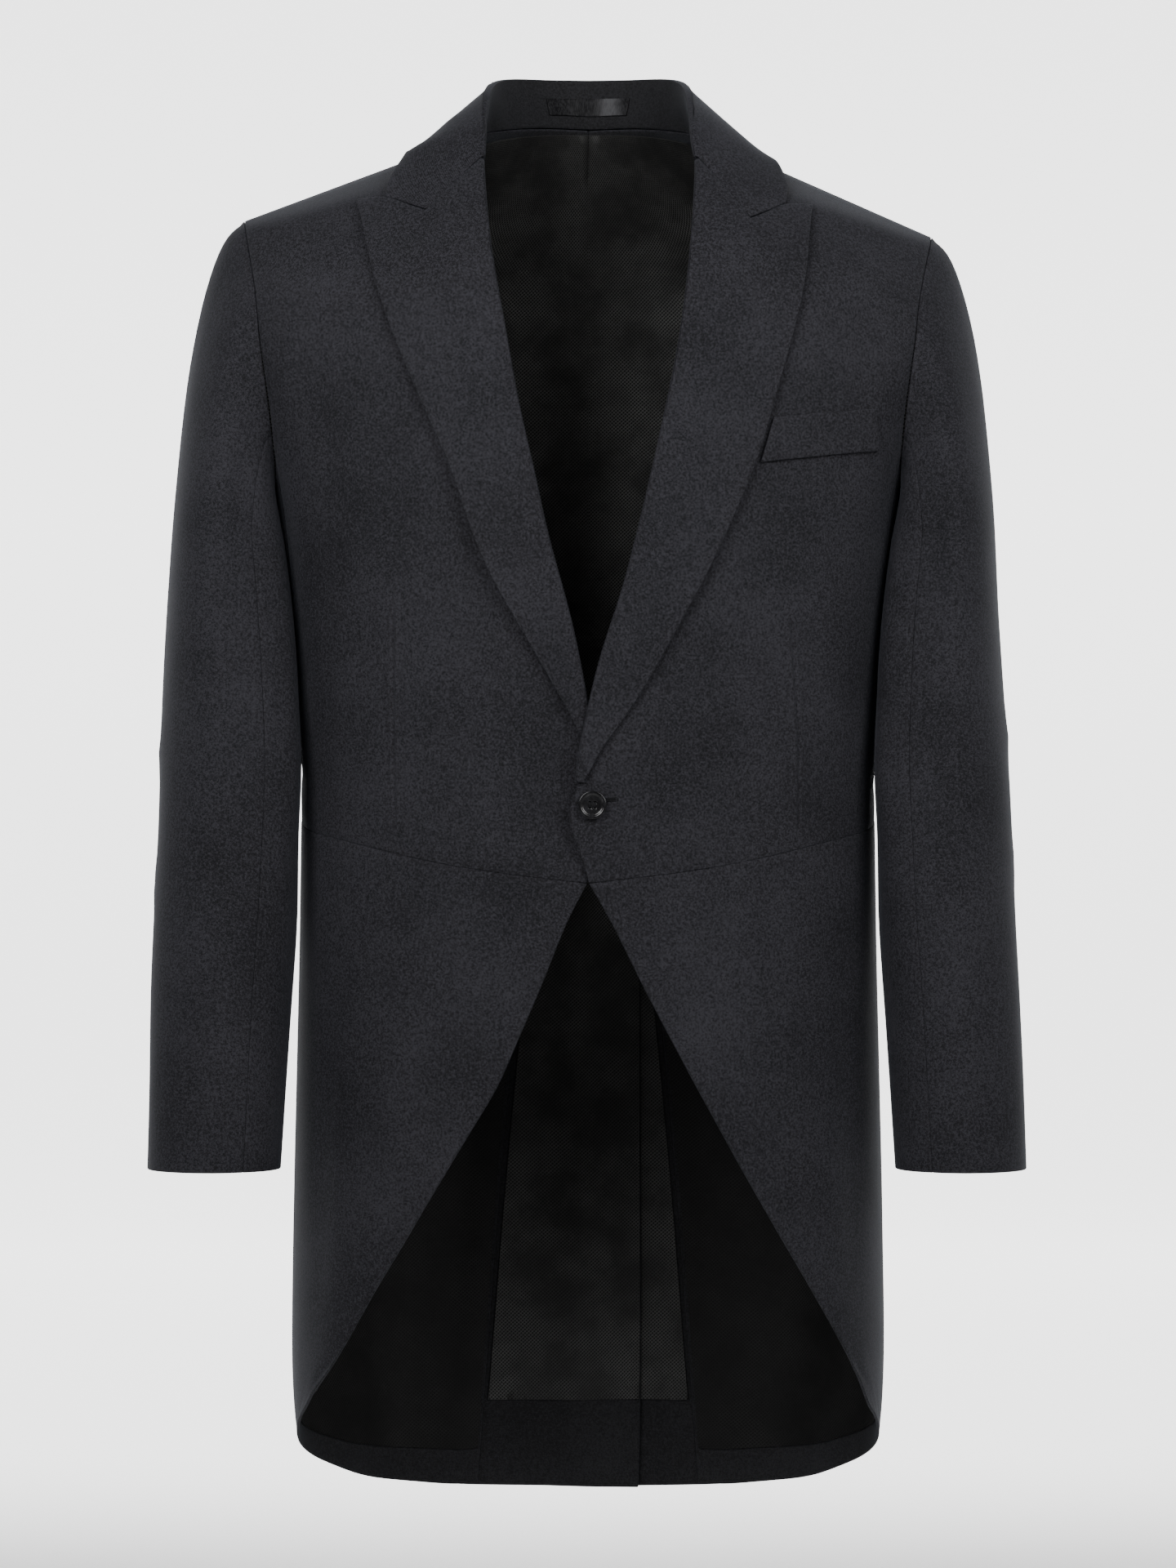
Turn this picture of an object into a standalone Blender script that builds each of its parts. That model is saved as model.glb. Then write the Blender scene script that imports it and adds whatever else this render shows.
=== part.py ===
"""Morning coat in the hollow form that it has when it is worn.

Every size in this file is in millimetres, and write_mesh turns them into metres. +X is the
wearer's left, -Y the front and +Z up. The origin is between the two side neck points, at
mid depth, where the wearer's shoulders hold the coat.

The body is one smooth form. A place on it has an angle, 0 at the centre front, 90 at the
side and 180 at the centre back, and a height. Each cut piece is a grid between four seam
curves on that form, and its wall is made by moving the grid along the form's normals.
"""

import math
from typing import NamedTuple

import bmesh
import bpy
import numpy as np

MM = 0.001
RIGHT, LEFT = -1, 1
SIDE_NAMES = {RIGHT: "right", LEFT: "left"}

# Walls and gaps
CLOTH = 2.0
LINING = 1.0
SEAM_HALF_GAP = 0.2
ARMHOLE_GAP = 0.3
LINING_GAP = 0.8
LAYER_GAP = 1.0

# Body form
SECTION_POWER = 2.35
MID_Y = 5.0
NECK_X = 72.0
TIP_X = 240.0
NECK_RISE = 60.0
RIDGE_HEIGHT = 110.0
RIDGE_POWER = 2.2
SHOULDER_SLOPE = {RIGHT: 0.372, LEFT: 0.44}

# Levels that seams share
GORGE_Z = -26.0
BREAK_Z = -458.0
LAPEL_END_Z = {RIGHT: -436.0, LEFT: -455.0}
SCYE_Z = -259.0
WAIST_FRONT_Z = -523.0
BACK_SEAM_END = -458.0
TAIL_SHARES = (0.025, 0.075, 0.16, 0.26, 0.36, 0.47, 0.58, 0.69, 0.80, 0.90, 1.0)
VENT_TOP_Z = -468.0
VENT_UNDERLAP = 38.0
PLEAT_TUCK = 15.0
BACK_NECK_Z = 11.0
HALF_GIRTH_REACH = 200.0

# Front lap, lapels and collar
LAP_LIFT = 2.8
LAP_LIFT_OVER_LAPEL = 5.8
ROLL_RADIUS = 1.5
ROLL_REACH = 3.3
COLLAR_ROLL_RADIUS = 2.3
STAND_LEAST = 0.7
LEAF_LIFT = 2.5
LEAF_RISE = 1.0
GORGE_DROP = 1.2
PEAK_LOW_Z = -82.0
WELT_LIFT = 0.8
WELT_TOP = ((125.0, -208.5), (195.0, -200.0))
WELT_LOW = ((116.0, -239.0), (198.0, -228.0))
LAPEL_SPRING = {RIGHT: 5.0, LEFT: 2.0}

# Armhole samples: one for each 15 degrees round the armhole
ARM_STEPS = 24
SIDE_SEAM_STEP = 9
BACK_SEAM_STEP = 17
SIDE_ROWS = 10
FRONT_COLUMNS = 10
NECK_COLUMNS = 4
BACK_COLUMNS = 8
SKIRT_ROWS = 15
SKIRT_COLUMNS = 16
TUCK_START = 1.2

# Where the linings end: millimetres from a seam, or shares of the panel's height or width
LINING_INSET = 1.0
LINING_SIDE_INSET = 2.5
LINING_NECK_SHARE = 0.003
LINING_SHOULDER_SHARE = 0.007
BACK_HEM_SHARE = 0.045
SKIRT_TOP_SHARE = 0.012
SKIRT_HEM_SHARE = 0.055
SKIRT_BACK_SHARE = 0.15
FACING_WIDTH = 25.0

# Buttons and loop
BUTTON_WIDTH = 19.0
BUTTON_THICK = 3.6
FRONT_BUTTON_X, FRONT_BUTTON_Z = 3.0, -470.0
BACK_BUTTON_X, BACK_BUTTON_Z = 56.0, -462.0
LOOP_LENGTH, LOOP_WIDTH, LOOP_THICK = 57.0, 12.5, 0.8
LOOP_RISE, LOOP_GAP = 15.5, 0.6
BUTTON_GAP = 0.9


class BodyLevel(NamedTuple):
    """Section of the body form at one height."""

    z: float
    half_width: float
    front: float
    back: float


BODY = (
    BodyLevel(z=60, half_width=266, front=-50, back=66),
    BodyLevel(z=0, half_width=264, front=-65, back=88),
    BodyLevel(z=-50, half_width=262, front=-80, back=108),
    BodyLevel(z=-75, half_width=262, front=-90, back=116),
    BodyLevel(z=-100, half_width=260, front=-100, back=122),
    BodyLevel(z=-150, half_width=251, front=-113, back=128),
    BodyLevel(z=-200, half_width=235, front=-120, back=129),
    BodyLevel(z=-250, half_width=219.5, front=-125, back=121),
    BodyLevel(z=-300, half_width=211.5, front=-126, back=112),
    BodyLevel(z=-350, half_width=206.5, front=-124, back=103),
    BodyLevel(z=-400, half_width=203, front=-121, back=94),
    BodyLevel(z=-440, half_width=201, front=-119, back=88),
    BodyLevel(z=-480, half_width=200, front=-118, back=90),
    BodyLevel(z=-520, half_width=200.5, front=-118.5, back=98),
    BodyLevel(z=-580, half_width=201.5, front=-120, back=113),
    BodyLevel(z=-650, half_width=203, front=-122, back=126),
    BodyLevel(z=-750, half_width=204.5, front=-124, back=128),
    BodyLevel(z=-860, half_width=204.8, front=-125, back=125),
    BodyLevel(z=-912, half_width=201.5, front=-125.5, back=123.5),
    BodyLevel(z=-970, half_width=194, front=-126, back=122),
)


class ArmholePoint(NamedTuple):
    """Place on the armhole: turn runs from the shoulder tip over the front and the underarm."""

    turn: float
    angle: float
    drop: float


ARMHOLE = (
    ArmholePoint(turn=0, angle=62, drop=0.0),
    ArmholePoint(turn=30, angle=60, drop=0.09),
    ArmholePoint(turn=60, angle=58.5, drop=0.29),
    ArmholePoint(turn=90, angle=61, drop=0.55),
    ArmholePoint(turn=120, angle=66.5, drop=0.78),
    ArmholePoint(turn=150, angle=75, drop=0.94),
    ArmholePoint(turn=180, angle=91, drop=1.0),
    ArmholePoint(turn=210, angle=108, drop=0.95),
    ArmholePoint(turn=240, angle=120.5, drop=0.78),
    ArmholePoint(turn=270, angle=126, drop=0.53),
    ArmholePoint(turn=300, angle=125.5, drop=0.28),
    ArmholePoint(turn=330, angle=121, drop=0.08),
    ArmholePoint(turn=360, angle=118, drop=0.0),
)


class FrontEdge(NamedTuple):
    """Visible roll line and front edge: distance from the centre for each front."""

    z: float
    right: float
    left: float


FRONT_EDGE = (
    FrontEdge(z=10, right=71.5, left=72.5),
    FrontEdge(z=-26, right=70.5, left=72.5),
    FrontEdge(z=-60, right=68, left=71),
    FrontEdge(z=-96, right=64, left=68),
    FrontEdge(z=-130, right=58, left=64),
    FrontEdge(z=-164, right=52, left=59),
    FrontEdge(z=-203, right=45, left=51),
    FrontEdge(z=-236, right=37, left=44),
    FrontEdge(z=-280, right=28, left=33.5),
    FrontEdge(z=-320, right=17, left=23.5),
    FrontEdge(z=-358, right=7.5, left=11),
    FrontEdge(z=-389, right=1.5, left=2.5),
    FrontEdge(z=-415, right=-4, left=-3),
    FrontEdge(z=-441, right=-9, left=-8),
    FrontEdge(z=-458, right=-11, left=-10),
    FrontEdge(z=-477, right=-13, left=-13),
    FrontEdge(z=-493, right=-8.5, left=-8.5),
    FrontEdge(z=-513, right=-2, left=-2),
    FrontEdge(z=-523, right=0.5, left=0.5),
)
EDGE_LEVELS = (GORGE_Z, -44, -64, -86, -112, -142, -176, -212, -250, -290, -328, -362,
               -392, -418, -438, BREAK_Z, -477, -498)


class LapelEdge(NamedTuple):
    """Outer edge of the lapel leaf: distance from the centre for each lapel."""

    z: float
    right: float
    left: float


LAPEL_EDGE = (
    LapelEdge(z=-58, right=157, left=153),
    LapelEdge(z=-82, right=152, left=150.5),
    LapelEdge(z=-106, right=146.5, left=148),
    LapelEdge(z=-135, right=137.5, left=142.5),
    LapelEdge(z=-170, right=124, left=133),
    LapelEdge(z=-205, right=109, left=123),
    LapelEdge(z=-240, right=93, left=112),
    LapelEdge(z=-280, right=79, left=95),
    LapelEdge(z=-306, right=69, left=83),
    LapelEdge(z=-334, right=54.5, left=69),
    LapelEdge(z=-365, right=37, left=51.5),
    LapelEdge(z=-387, right=25, left=40),
    LapelEdge(z=-415, right=9, left=22.5),
    LapelEdge(z=-432, right=0, left=9.5),
    LapelEdge(z=-458, right=-8, left=-4),
)


class Gorge(NamedTuple):
    """Seam between collar and lapel, on from the roll line to the lapel's peak."""

    notch: tuple
    corner: tuple
    peak: tuple


GORGE = {
    RIGHT: Gorge(notch=(110, -65), corner=(139, -54), peak=(158, -55)),
    LEFT: Gorge(notch=(110, -71), corner=(135.5, -59), peak=(153.5, -59)),
}


class SkirtEdge(NamedTuple):
    """Cutaway front edge of the skirt, then round its lower corner."""

    x: float
    z: float


SKIRT_EDGE = {
    RIGHT: (
        SkirtEdge(x=12, z=-544), SkirtEdge(x=33, z=-596), SkirtEdge(x=61, z=-660),
        SkirtEdge(x=94, z=-715), SkirtEdge(x=127, z=-771), SkirtEdge(x=147, z=-805),
        SkirtEdge(x=164, z=-836), SkirtEdge(x=180, z=-860), SkirtEdge(x=193, z=-876),
    ),
    LEFT: (
        SkirtEdge(x=13, z=-544), SkirtEdge(x=40, z=-598), SkirtEdge(x=73, z=-660),
        SkirtEdge(x=101, z=-711), SkirtEdge(x=127, z=-757), SkirtEdge(x=147, z=-792),
        SkirtEdge(x=170, z=-832), SkirtEdge(x=185, z=-859), SkirtEdge(x=197, z=-885),
    ),
}


class HemPoint(NamedTuple):
    """Height of the skirt and tail hem at an angle round the body."""

    angle: float
    z: float


HEM = (
    HemPoint(angle=70, z=-884), HemPoint(angle=84, z=-901), HemPoint(angle=96, z=-916),
    HemPoint(angle=112, z=-935), HemPoint(angle=130, z=-951), HemPoint(angle=150, z=-960),
    HemPoint(angle=170, z=-963), HemPoint(angle=190, z=-964),
)


class WaistPoint(NamedTuple):
    """Height of the waist seam at an angle round the body."""

    angle: float
    z: float


WAIST = (
    WaistPoint(angle=-8, z=-524), WaistPoint(angle=0, z=-523), WaistPoint(angle=25, z=-512),
    WaistPoint(angle=50, z=-496), WaistPoint(angle=75, z=-486), WaistPoint(angle=100, z=-478),
    WaistPoint(angle=130, z=-468), WaistPoint(angle=165, z=-458),
)


class BackEdge(NamedTuple):
    """Half width of the back: the side body seam, then the edge of the tail."""

    z: float
    x: float


BACK_EDGE = (
    BackEdge(z=-193, x=203), BackEdge(z=-225, x=160), BackEdge(z=-270, x=119),
    BackEdge(z=-330, x=83), BackEdge(z=-390, x=63), BackEdge(z=-430, x=56),
    BackEdge(z=-460, x=54), BackEdge(z=-520, x=58), BackEdge(z=-620, x=68),
    BackEdge(z=-740, x=79), BackEdge(z=-860, x=88), BackEdge(z=-970, x=96),
)


class SleeveLevel(NamedTuple):
    """Level section of the sleeve: outer and inner reach from the centre, and its depth.

    hug is how far its inner front part bulges toward the body, which it lies against.
    """

    z: float
    outer_right: float
    outer_left: float
    inner: float
    mid_y: float
    depth: float
    hug: float


SLEEVE = (
    SleeveLevel(z=-290, outer_right=290, outer_left=283.5, inner=217.5, mid_y=1, depth=158, hug=14),
    SleeveLevel(z=-345, outer_right=293.5, outer_left=286, inner=210.5, mid_y=-8, depth=146, hug=15),
    SleeveLevel(z=-399, outer_right=295.5, outer_left=289, inner=205, mid_y=-18, depth=134, hug=13),
    SleeveLevel(z=-445, outer_right=296, outer_left=291, inner=201.5, mid_y=-27, depth=125, hug=12),
    SleeveLevel(z=-490, outer_right=297, outer_left=293, inner=200.5, mid_y=-35, depth=118, hug=7),
    SleeveLevel(z=-545, outer_right=299, outer_left=294.5, inner=200, mid_y=-44, depth=111, hug=2),
    SleeveLevel(z=-600, outer_right=300.5, outer_left=296.5, inner=203.2, mid_y=-52, depth=104, hug=0),
    SleeveLevel(z=-660, outer_right=300.5, outer_left=298.5, inner=206.8, mid_y=-60, depth=97, hug=0),
    SleeveLevel(z=-719, outer_right=301.5, outer_left=300, inner=210.3, mid_y=-66, depth=92, hug=0),
)
HUG_TURN, HUG_REACH = 142.0, 42.0
CAP_SHARES = (0.0, 0.12, 0.27, 0.45, 0.64, 0.83)
CAP_CENTRE = (225.0, 12.0, -165.0)
CAP_SWING, CAP_SWING_POWER = 171.0, 1.7
CAP_LEAVE, CAP_ARRIVE = 0.5, 0.65
SLEEVE_SEAM_BACK = 17
SLEEVE_SEAM_FRONT = 8


class Crease(NamedTuple):
    """Soft trough or ridge round part of a sleeve."""

    turn: float
    z: float
    turn_reach: float
    z_reach: float
    slant: float
    height: float


SLEEVE_CREASES = (
    Crease(turn=100, z=-300, turn_reach=55, z_reach=16, slant=0.35, height=-2.6),
    Crease(turn=110, z=-352, turn_reach=60, z_reach=18, slant=0.30, height=-2.2),
    Crease(turn=95, z=-420, turn_reach=60, z_reach=20, slant=-0.25, height=-2.8),
    Crease(turn=110, z=-470, turn_reach=70, z_reach=18, slant=0.20, height=-2.4),
    Crease(turn=280, z=-430, turn_reach=60, z_reach=26, slant=0.15, height=2.4),
    Crease(turn=60, z=-545, turn_reach=50, z_reach=24, slant=0.30, height=-1.6),
)


class TailFold(NamedTuple):
    """Soft upright fold of the skirt and tails, growing from the hip to the hem."""

    angle: float
    reach: float
    height: float


TAIL_FOLDS = (
    TailFold(angle=70, reach=11, height=-2.5), TailFold(angle=98, reach=12, height=3.0),
    TailFold(angle=121, reach=10, height=-4.0), TailFold(angle=140, reach=9, height=3.5),
)


def smooth(table, key, column, at):
    """Cubic through a table's column against its key column."""
    rows = sorted(table, key=lambda row: getattr(row, key))
    keys = [float(getattr(row, key)) for row in rows]
    values = [float(getattr(row, column)) for row in rows]
    last = len(rows) - 1
    at = min(max(at, keys[0]), keys[last])
    k = min(max(int(np.searchsorted(keys, at)) - 1, 0), last - 1)

    def slope(i):
        low, high = max(i - 1, 0), min(i + 1, last)
        return (values[high] - values[low]) / (keys[high] - keys[low])

    step = keys[k + 1] - keys[k]
    s = (at - keys[k]) / step
    return (
        (2 * s**3 - 3 * s**2 + 1) * values[k]
        + (s**3 - 2 * s**2 + s) * step * slope(k)
        + (3 * s**2 - 2 * s**3) * values[k + 1]
        + (s**3 - s**2) * step * slope(k + 1)
    )


def ease(value, low, high):
    """0 below low, 1 above high and a smooth step between."""
    s = min(max((value - low) / (high - low), 0.0), 1.0)
    return s * s * (3 - 2 * s)


def unit(vector):
    return vector / np.linalg.norm(vector)


def ridge_z(x, side):
    """Height of the shoulder line, with the rise of the back neck inside it."""
    height = -SHOULDER_SLOPE[side] * (abs(x) - NECK_X)
    if abs(x) < NECK_X:
        height += NECK_RISE * (1 - abs(x) / NECK_X) ** 1.5
    return height


def fullness(x, z, side):
    """Share of the section's depth that is left near the shoulder line."""
    t = min(max((ridge_z(x, side) - z) / RIDGE_HEIGHT, 0.0), 1.0)
    return math.sqrt(1 - (1 - t) ** RIDGE_POWER)


def half_depth(z, back):
    level = smooth(BODY, "z", "back" if back else "front", z)
    return level - MID_Y if back else MID_Y - level


def body_point(angle, z, side):
    """Point of the bare body form, x positive on its own side."""
    turn = math.radians(angle)
    sine, cosine = math.sin(turn), math.cos(turn)
    reach = (abs(sine) ** SECTION_POWER + abs(cosine) ** SECTION_POWER) ** (-1 / SECTION_POWER)
    x = smooth(BODY, "z", "half_width", z) * reach * sine
    depth = half_depth(z, back=cosine < 0) * reach * cosine
    return np.array([x, MID_Y - depth * fullness(x, z, side), z])


def body_normal(point, side):
    """Outward normal of the body form at one of its points."""
    x, y, z = point
    if ridge_z(x, side) - z < 0.02:
        return unit(np.array([math.copysign(SHOULDER_SLOPE[side], x), 0.0, 1.0]))
    back = y > MID_Y
    step = 0.004

    def measure(px, py, pz):
        depth = half_depth(pz, back) * fullness(px, pz, side)
        width = smooth(BODY, "z", "half_width", pz)
        return (abs(py - MID_Y) / depth) ** SECTION_POWER + (abs(px) / width) ** SECTION_POWER

    return unit(np.array([
        measure(x + step, y, z) - measure(x - step, y, z),
        measure(x, y + step, z) - measure(x, y - step, z),
        measure(x, y, z + step) - measure(x, y, z - step),
    ]))


def angle_at(x, z, back=False):
    """Angle round the body at a distance from the centre."""
    share = min(max(x / smooth(BODY, "z", "half_width", z), -1.0), 1.0)
    along = (1 - abs(share) ** SECTION_POWER) ** (1 / SECTION_POWER)
    return math.degrees(math.atan2(share, -along if back else along))


def mirrored(point, side):
    return np.array([point[0] * side, point[1], point[2]])


def shoulder_tip_z(side):
    return ridge_z(TIP_X, side)


def armhole_place(turn, side):
    """Angle and height of the armhole at a turn round it."""
    top = shoulder_tip_z(side)
    drop = smooth(ARMHOLE, "turn", "drop", turn)
    z = top + drop * (SCYE_Z - top)
    if turn % 360 == 0:
        return angle_at(TIP_X, z), z
    return smooth(ARMHOLE, "turn", "angle", turn), z


def arm_step_place(step, side):
    """Armhole place at a sample, where the last one is the shoulder tip seen from the back."""
    turn = 360.0 * step / ARM_STEPS
    if step in (0, ARM_STEPS):
        z = shoulder_tip_z(side)
        return angle_at(TIP_X, z, back=step == ARM_STEPS), z
    return armhole_place(turn, side)


def side_seam():
    """Seam between forepart and side body, from the armhole to the waist."""
    angle, z = armhole_place(360.0 * SIDE_SEAM_STEP / ARM_STEPS, LEFT)
    end_angle = angle + 9
    end_z = smooth(WAIST, "angle", "z", end_angle)
    shares = np.linspace(0, 1, SIDE_ROWS + 1)
    return [(angle + (end_angle - angle) * s ** 0.7, z + (end_z - z) * s) for s in shares]


def back_seam():
    """Seam between side body and back, from the armhole to the waist."""
    top = armhole_place(360.0 * BACK_SEAM_STEP / ARM_STEPS, LEFT)
    seam = [top]
    for share in np.linspace(0, 1, SIDE_ROWS + 1)[1:]:
        z = top[1] + (BACK_SEAM_END - top[1]) * share ** 1.15
        blend = ease(share, 0.0, 0.25)
        x = smooth(BACK_EDGE, "z", "x", z)
        angle = angle_at(x, z, back=True)
        seam.append((top[0] + (angle - top[0]) * max(blend, share), z))
    return seam


def patch(left, right, top, bottom):
    """Grid between four boundary lists of (across, z), rows running from the top.

    Each row is divided as the top is divided near the top, and as the bottom is lower down.
    """
    left, right = np.array(left, float), np.array(right, float)
    top, bottom = np.array(top, float), np.array(bottom, float)
    rows, columns = len(left), len(top)
    top_shares = (top[:, 0] - top[0, 0]) / (top[-1, 0] - top[0, 0])
    low_shares = (bottom[:, 0] - bottom[0, 0]) / (bottom[-1, 0] - bottom[0, 0])
    grid = np.zeros((rows, columns, 2))
    for i in range(rows):
        v = i / (rows - 1)
        lower = math.sqrt(v)
        for j in range(columns):
            u = (1 - lower) * top_shares[j] + lower * low_shares[j]
            bow = (1 - v) ** 2 * (top[j, 1] - top[0, 1] - (top[-1, 1] - top[0, 1]) * top_shares[j])
            sag = v**2 * (bottom[j, 1] - bottom[0, 1] - (bottom[-1, 1] - bottom[0, 1]) * low_shares[j])
            grid[i, j] = left[i] + (right[i] - left[i]) * u
            grid[i, j, 1] += bow + sag
    return grid


def trimmed(walls, normals, gap):
    """Walls with every edge moved in by a seam's half gap, along the cloth."""
    rows, columns = normals.shape[:2]
    shift = np.zeros_like(normals)
    surface = walls[0]
    for i in range(rows):
        for j in range(columns):
            for on_edge, along, inward in (
                (i in (0, rows - 1), (0, 1), (1 if i == 0 else -1, 0)),
                (j in (0, columns - 1), (1, 0), (0, 1 if j == 0 else -1)),
            ):
                if not on_edge:
                    continue
                a = surface[min(i + along[0], rows - 1), min(j + along[1], columns - 1)]
                b = surface[max(i - along[0], 0), max(j - along[1], 0)]
                across = np.cross(normals[i, j], a - b)
                toward = surface[i + inward[0], j + inward[1]] - surface[i, j]
                across = unit(across)
                shift[i, j] += across * math.copysign(gap, float(across @ toward))
    return [wall + shift for wall in walls]


def write_mesh(name, front, back, material, collection):
    """One closed wall from two grids of points: a flat slab of cloth moved to its place."""
    rows, columns = front.shape[:2]
    bm = bmesh.new()
    bmesh.ops.create_grid(bm, x_segments=columns - 1, y_segments=rows - 1, size=1.0)
    doubled = bmesh.ops.extrude_face_region(bm, geom=bm.faces[:], use_keep_orig=True)
    behind = {v for v in doubled["geom"] if isinstance(v, bmesh.types.BMVert)}
    for vert in bm.verts:
        j = round((vert.co.x + 1) / 2 * (columns - 1))
        i = round((vert.co.y + 1) / 2 * (rows - 1))
        vert.co = (back if vert in behind else front)[i, j] * MM
    bmesh.ops.recalc_face_normals(bm, faces=bm.faces)
    if bm.calc_volume(signed=True) < 0:
        bmesh.ops.reverse_faces(bm, faces=bm.faces)
    return add_object(name, bm, material, collection)


def add_object(name, bm, material, collection):
    mesh = bpy.data.meshes.new(name)
    bm.to_mesh(mesh)
    bm.free()
    mesh.shade_smooth()
    mesh.set_sharp_from_angle(angle=math.radians(50))
    mesh.materials.append(material)
    obj = bpy.data.objects.new(name, mesh)
    collection.objects.link(obj)
    return obj


def body_panel(name, side, places, lift, material, collection):
    """A cut piece on the body form. lift gives its outer face's height above the form."""
    rows, columns = places.shape[:2]
    outer = np.zeros((rows, columns, 3))
    normals = np.zeros((rows, columns, 3))
    for i in range(rows):
        for j in range(columns):
            angle, z = places[i, j]
            point = body_point(angle, z, side)
            normal = body_normal(point, side)
            outer[i, j] = mirrored(point + normal * lift(angle, z, point[0]), side)
            normals[i, j] = mirrored(normal, side)
    inner = outer - CLOTH * normals
    write_mesh(name, *trimmed([outer, inner], normals, SEAM_HALF_GAP), material, collection)
    return inner, normals


def lining_panel(name, inner, normals, shares, material, collection):
    """Lining inside a panel, made from the panel's own inner points.

    shares is a grid of (share down the panel, share across it).
    """
    outer = np.array([[sample(inner, v, u) - LINING_GAP * unit(sample(normals, v, u))
                       for v, u in row] for row in shares])
    leans = np.array([[unit(sample(normals, v, u)) for v, u in row] for row in shares])
    write_mesh(name, outer, outer - LINING * leans, material, collection)


def sample(grid, v, u):
    """Value of a grid at a share down and a share across."""
    rows, columns = grid.shape[:2]
    down, over = v * (rows - 1), u * (columns - 1)
    i, j = min(int(down), rows - 2), min(int(over), columns - 2)
    a, b = down - i, over - j
    return ((1 - a) * (1 - b) * grid[i, j] + (1 - a) * b * grid[i, j + 1]
            + a * (1 - b) * grid[i + 1, j] + a * b * grid[i + 1, j + 1])


def tail_wave(angle, z):
    """Height of the upright folds, which fade out toward the waist."""
    growth = ease(-z, 560, 900)
    return growth * sum(
        fold.height * math.exp(-(((angle - fold.angle) / fold.reach) ** 2)) for fold in TAIL_FOLDS
    )


def front_lift(side):
    """The left front laps over the right one, and over the end of its lapel."""

    def lift(angle, z, x):
        if side == RIGHT or angle > 90:
            return 0.0
        over = LAP_LIFT_OVER_LAPEL - LAP_LIFT
        height = LAP_LIFT + over * ease(-z, 335, 375) * (1 - ease(-z, 442, 464))
        height *= ease(-z, 290, 350) * (1 - ease(-z, 530, 610))
        return height * (1 - ease(x, 28, 85))

    return lift


def edge_x(z, side):
    """Where the forepart's wall ends: short of the visible roll by the fold's own reach."""
    reach = ROLL_REACH * (1 - ease(-z, 455, 475))
    return smooth(FRONT_EDGE, "z", SIDE_NAMES[side], z) + reach


def front_edge_places(side):
    """Inner edge of the forepart, from the side neck point down to the waist."""
    neck_x = edge_x(0.0, side)
    top_z = ridge_z(neck_x, side)
    places = [(angle_at(neck_x, top_z), top_z)]
    places += [(angle_at(edge_x(z, side), z), float(z)) for z in EDGE_LEVELS]
    low_angle = angle_at(edge_x(WAIST_FRONT_Z, side), WAIST_FRONT_Z)
    places.append((low_angle, smooth(WAIST, "angle", "z", low_angle)))
    return places


def forepart(side, material, collection):
    left = front_edge_places(side)
    right = [arm_step_place(k, side) for k in range(SIDE_SEAM_STEP + 1)] + side_seam()[1:]
    neck_x = edge_x(0.0, side)
    top = []
    for x in np.linspace(neck_x, TIP_X, FRONT_COLUMNS + 1):
        z = ridge_z(x, side)
        top.append((angle_at(x, z), z))
    bottom = [
        (angle, smooth(WAIST, "angle", "z", angle))
        for angle in np.linspace(left[-1][0], right[-1][0], FRONT_COLUMNS + 1)
    ]
    body_panel(f"forepart_{SIDE_NAMES[side]}", side, patch(left, right, top, bottom),
               front_lift(side), material, collection)


def side_body(side, material, collection):
    left, right = side_seam(), back_seam()
    top = [armhole_place(360.0 * k / ARM_STEPS, side)
           for k in range(SIDE_SEAM_STEP, BACK_SEAM_STEP + 1)]
    left[0], right[0] = top[0], top[-1]
    bottom = [
        (angle, smooth(WAIST, "angle", "z", angle))
        for angle in np.linspace(left[-1][0], right[-1][0], len(top))
    ]
    bottom[-1] = right[-1]
    body_panel(f"side_body_{SIDE_NAMES[side]}", side, patch(left, right, top, bottom),
               lambda angle, z, x: 0.0, material, collection)


def back_neck_place(share, side):
    """Neck seam of the back: share 0 is the centre back, 1 the side neck point."""
    neck_x = edge_x(0.0, side)
    x = neck_x * share
    z = BACK_NECK_Z + (ridge_z(neck_x, side) - BACK_NECK_Z) * share ** 2.6
    return 180 - abs(180 - angle_at(x, z, back=True)), z


def vent_lift(side):
    """The right tail runs under the left one below the vent."""

    def lift(angle, z, x):
        if side == LEFT:
            return 0.0
        under = CLOTH + LINING_GAP + LINING + LAYER_GAP
        return -under * ease(-z, 438, 470) * (1 - ease(x, 1, 26))

    return lift


def back_centre_place(z, side):
    if side == LEFT or z > VENT_TOP_Z:
        return 180.0, z
    x = -VENT_UNDERLAP * ease(-z, -VENT_TOP_Z, -VENT_TOP_Z + 22)
    return 180.0 - math.degrees(math.atan(x / HALF_GIRTH_REACH)), z


def back_levels():
    """Heights that the back's centre edge and outer edge share below the waist."""
    low = smooth(HEM, "angle", "z", 180)
    return [BACK_SEAM_END + (low - BACK_SEAM_END) * share for share in TAIL_SHARES]


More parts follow.
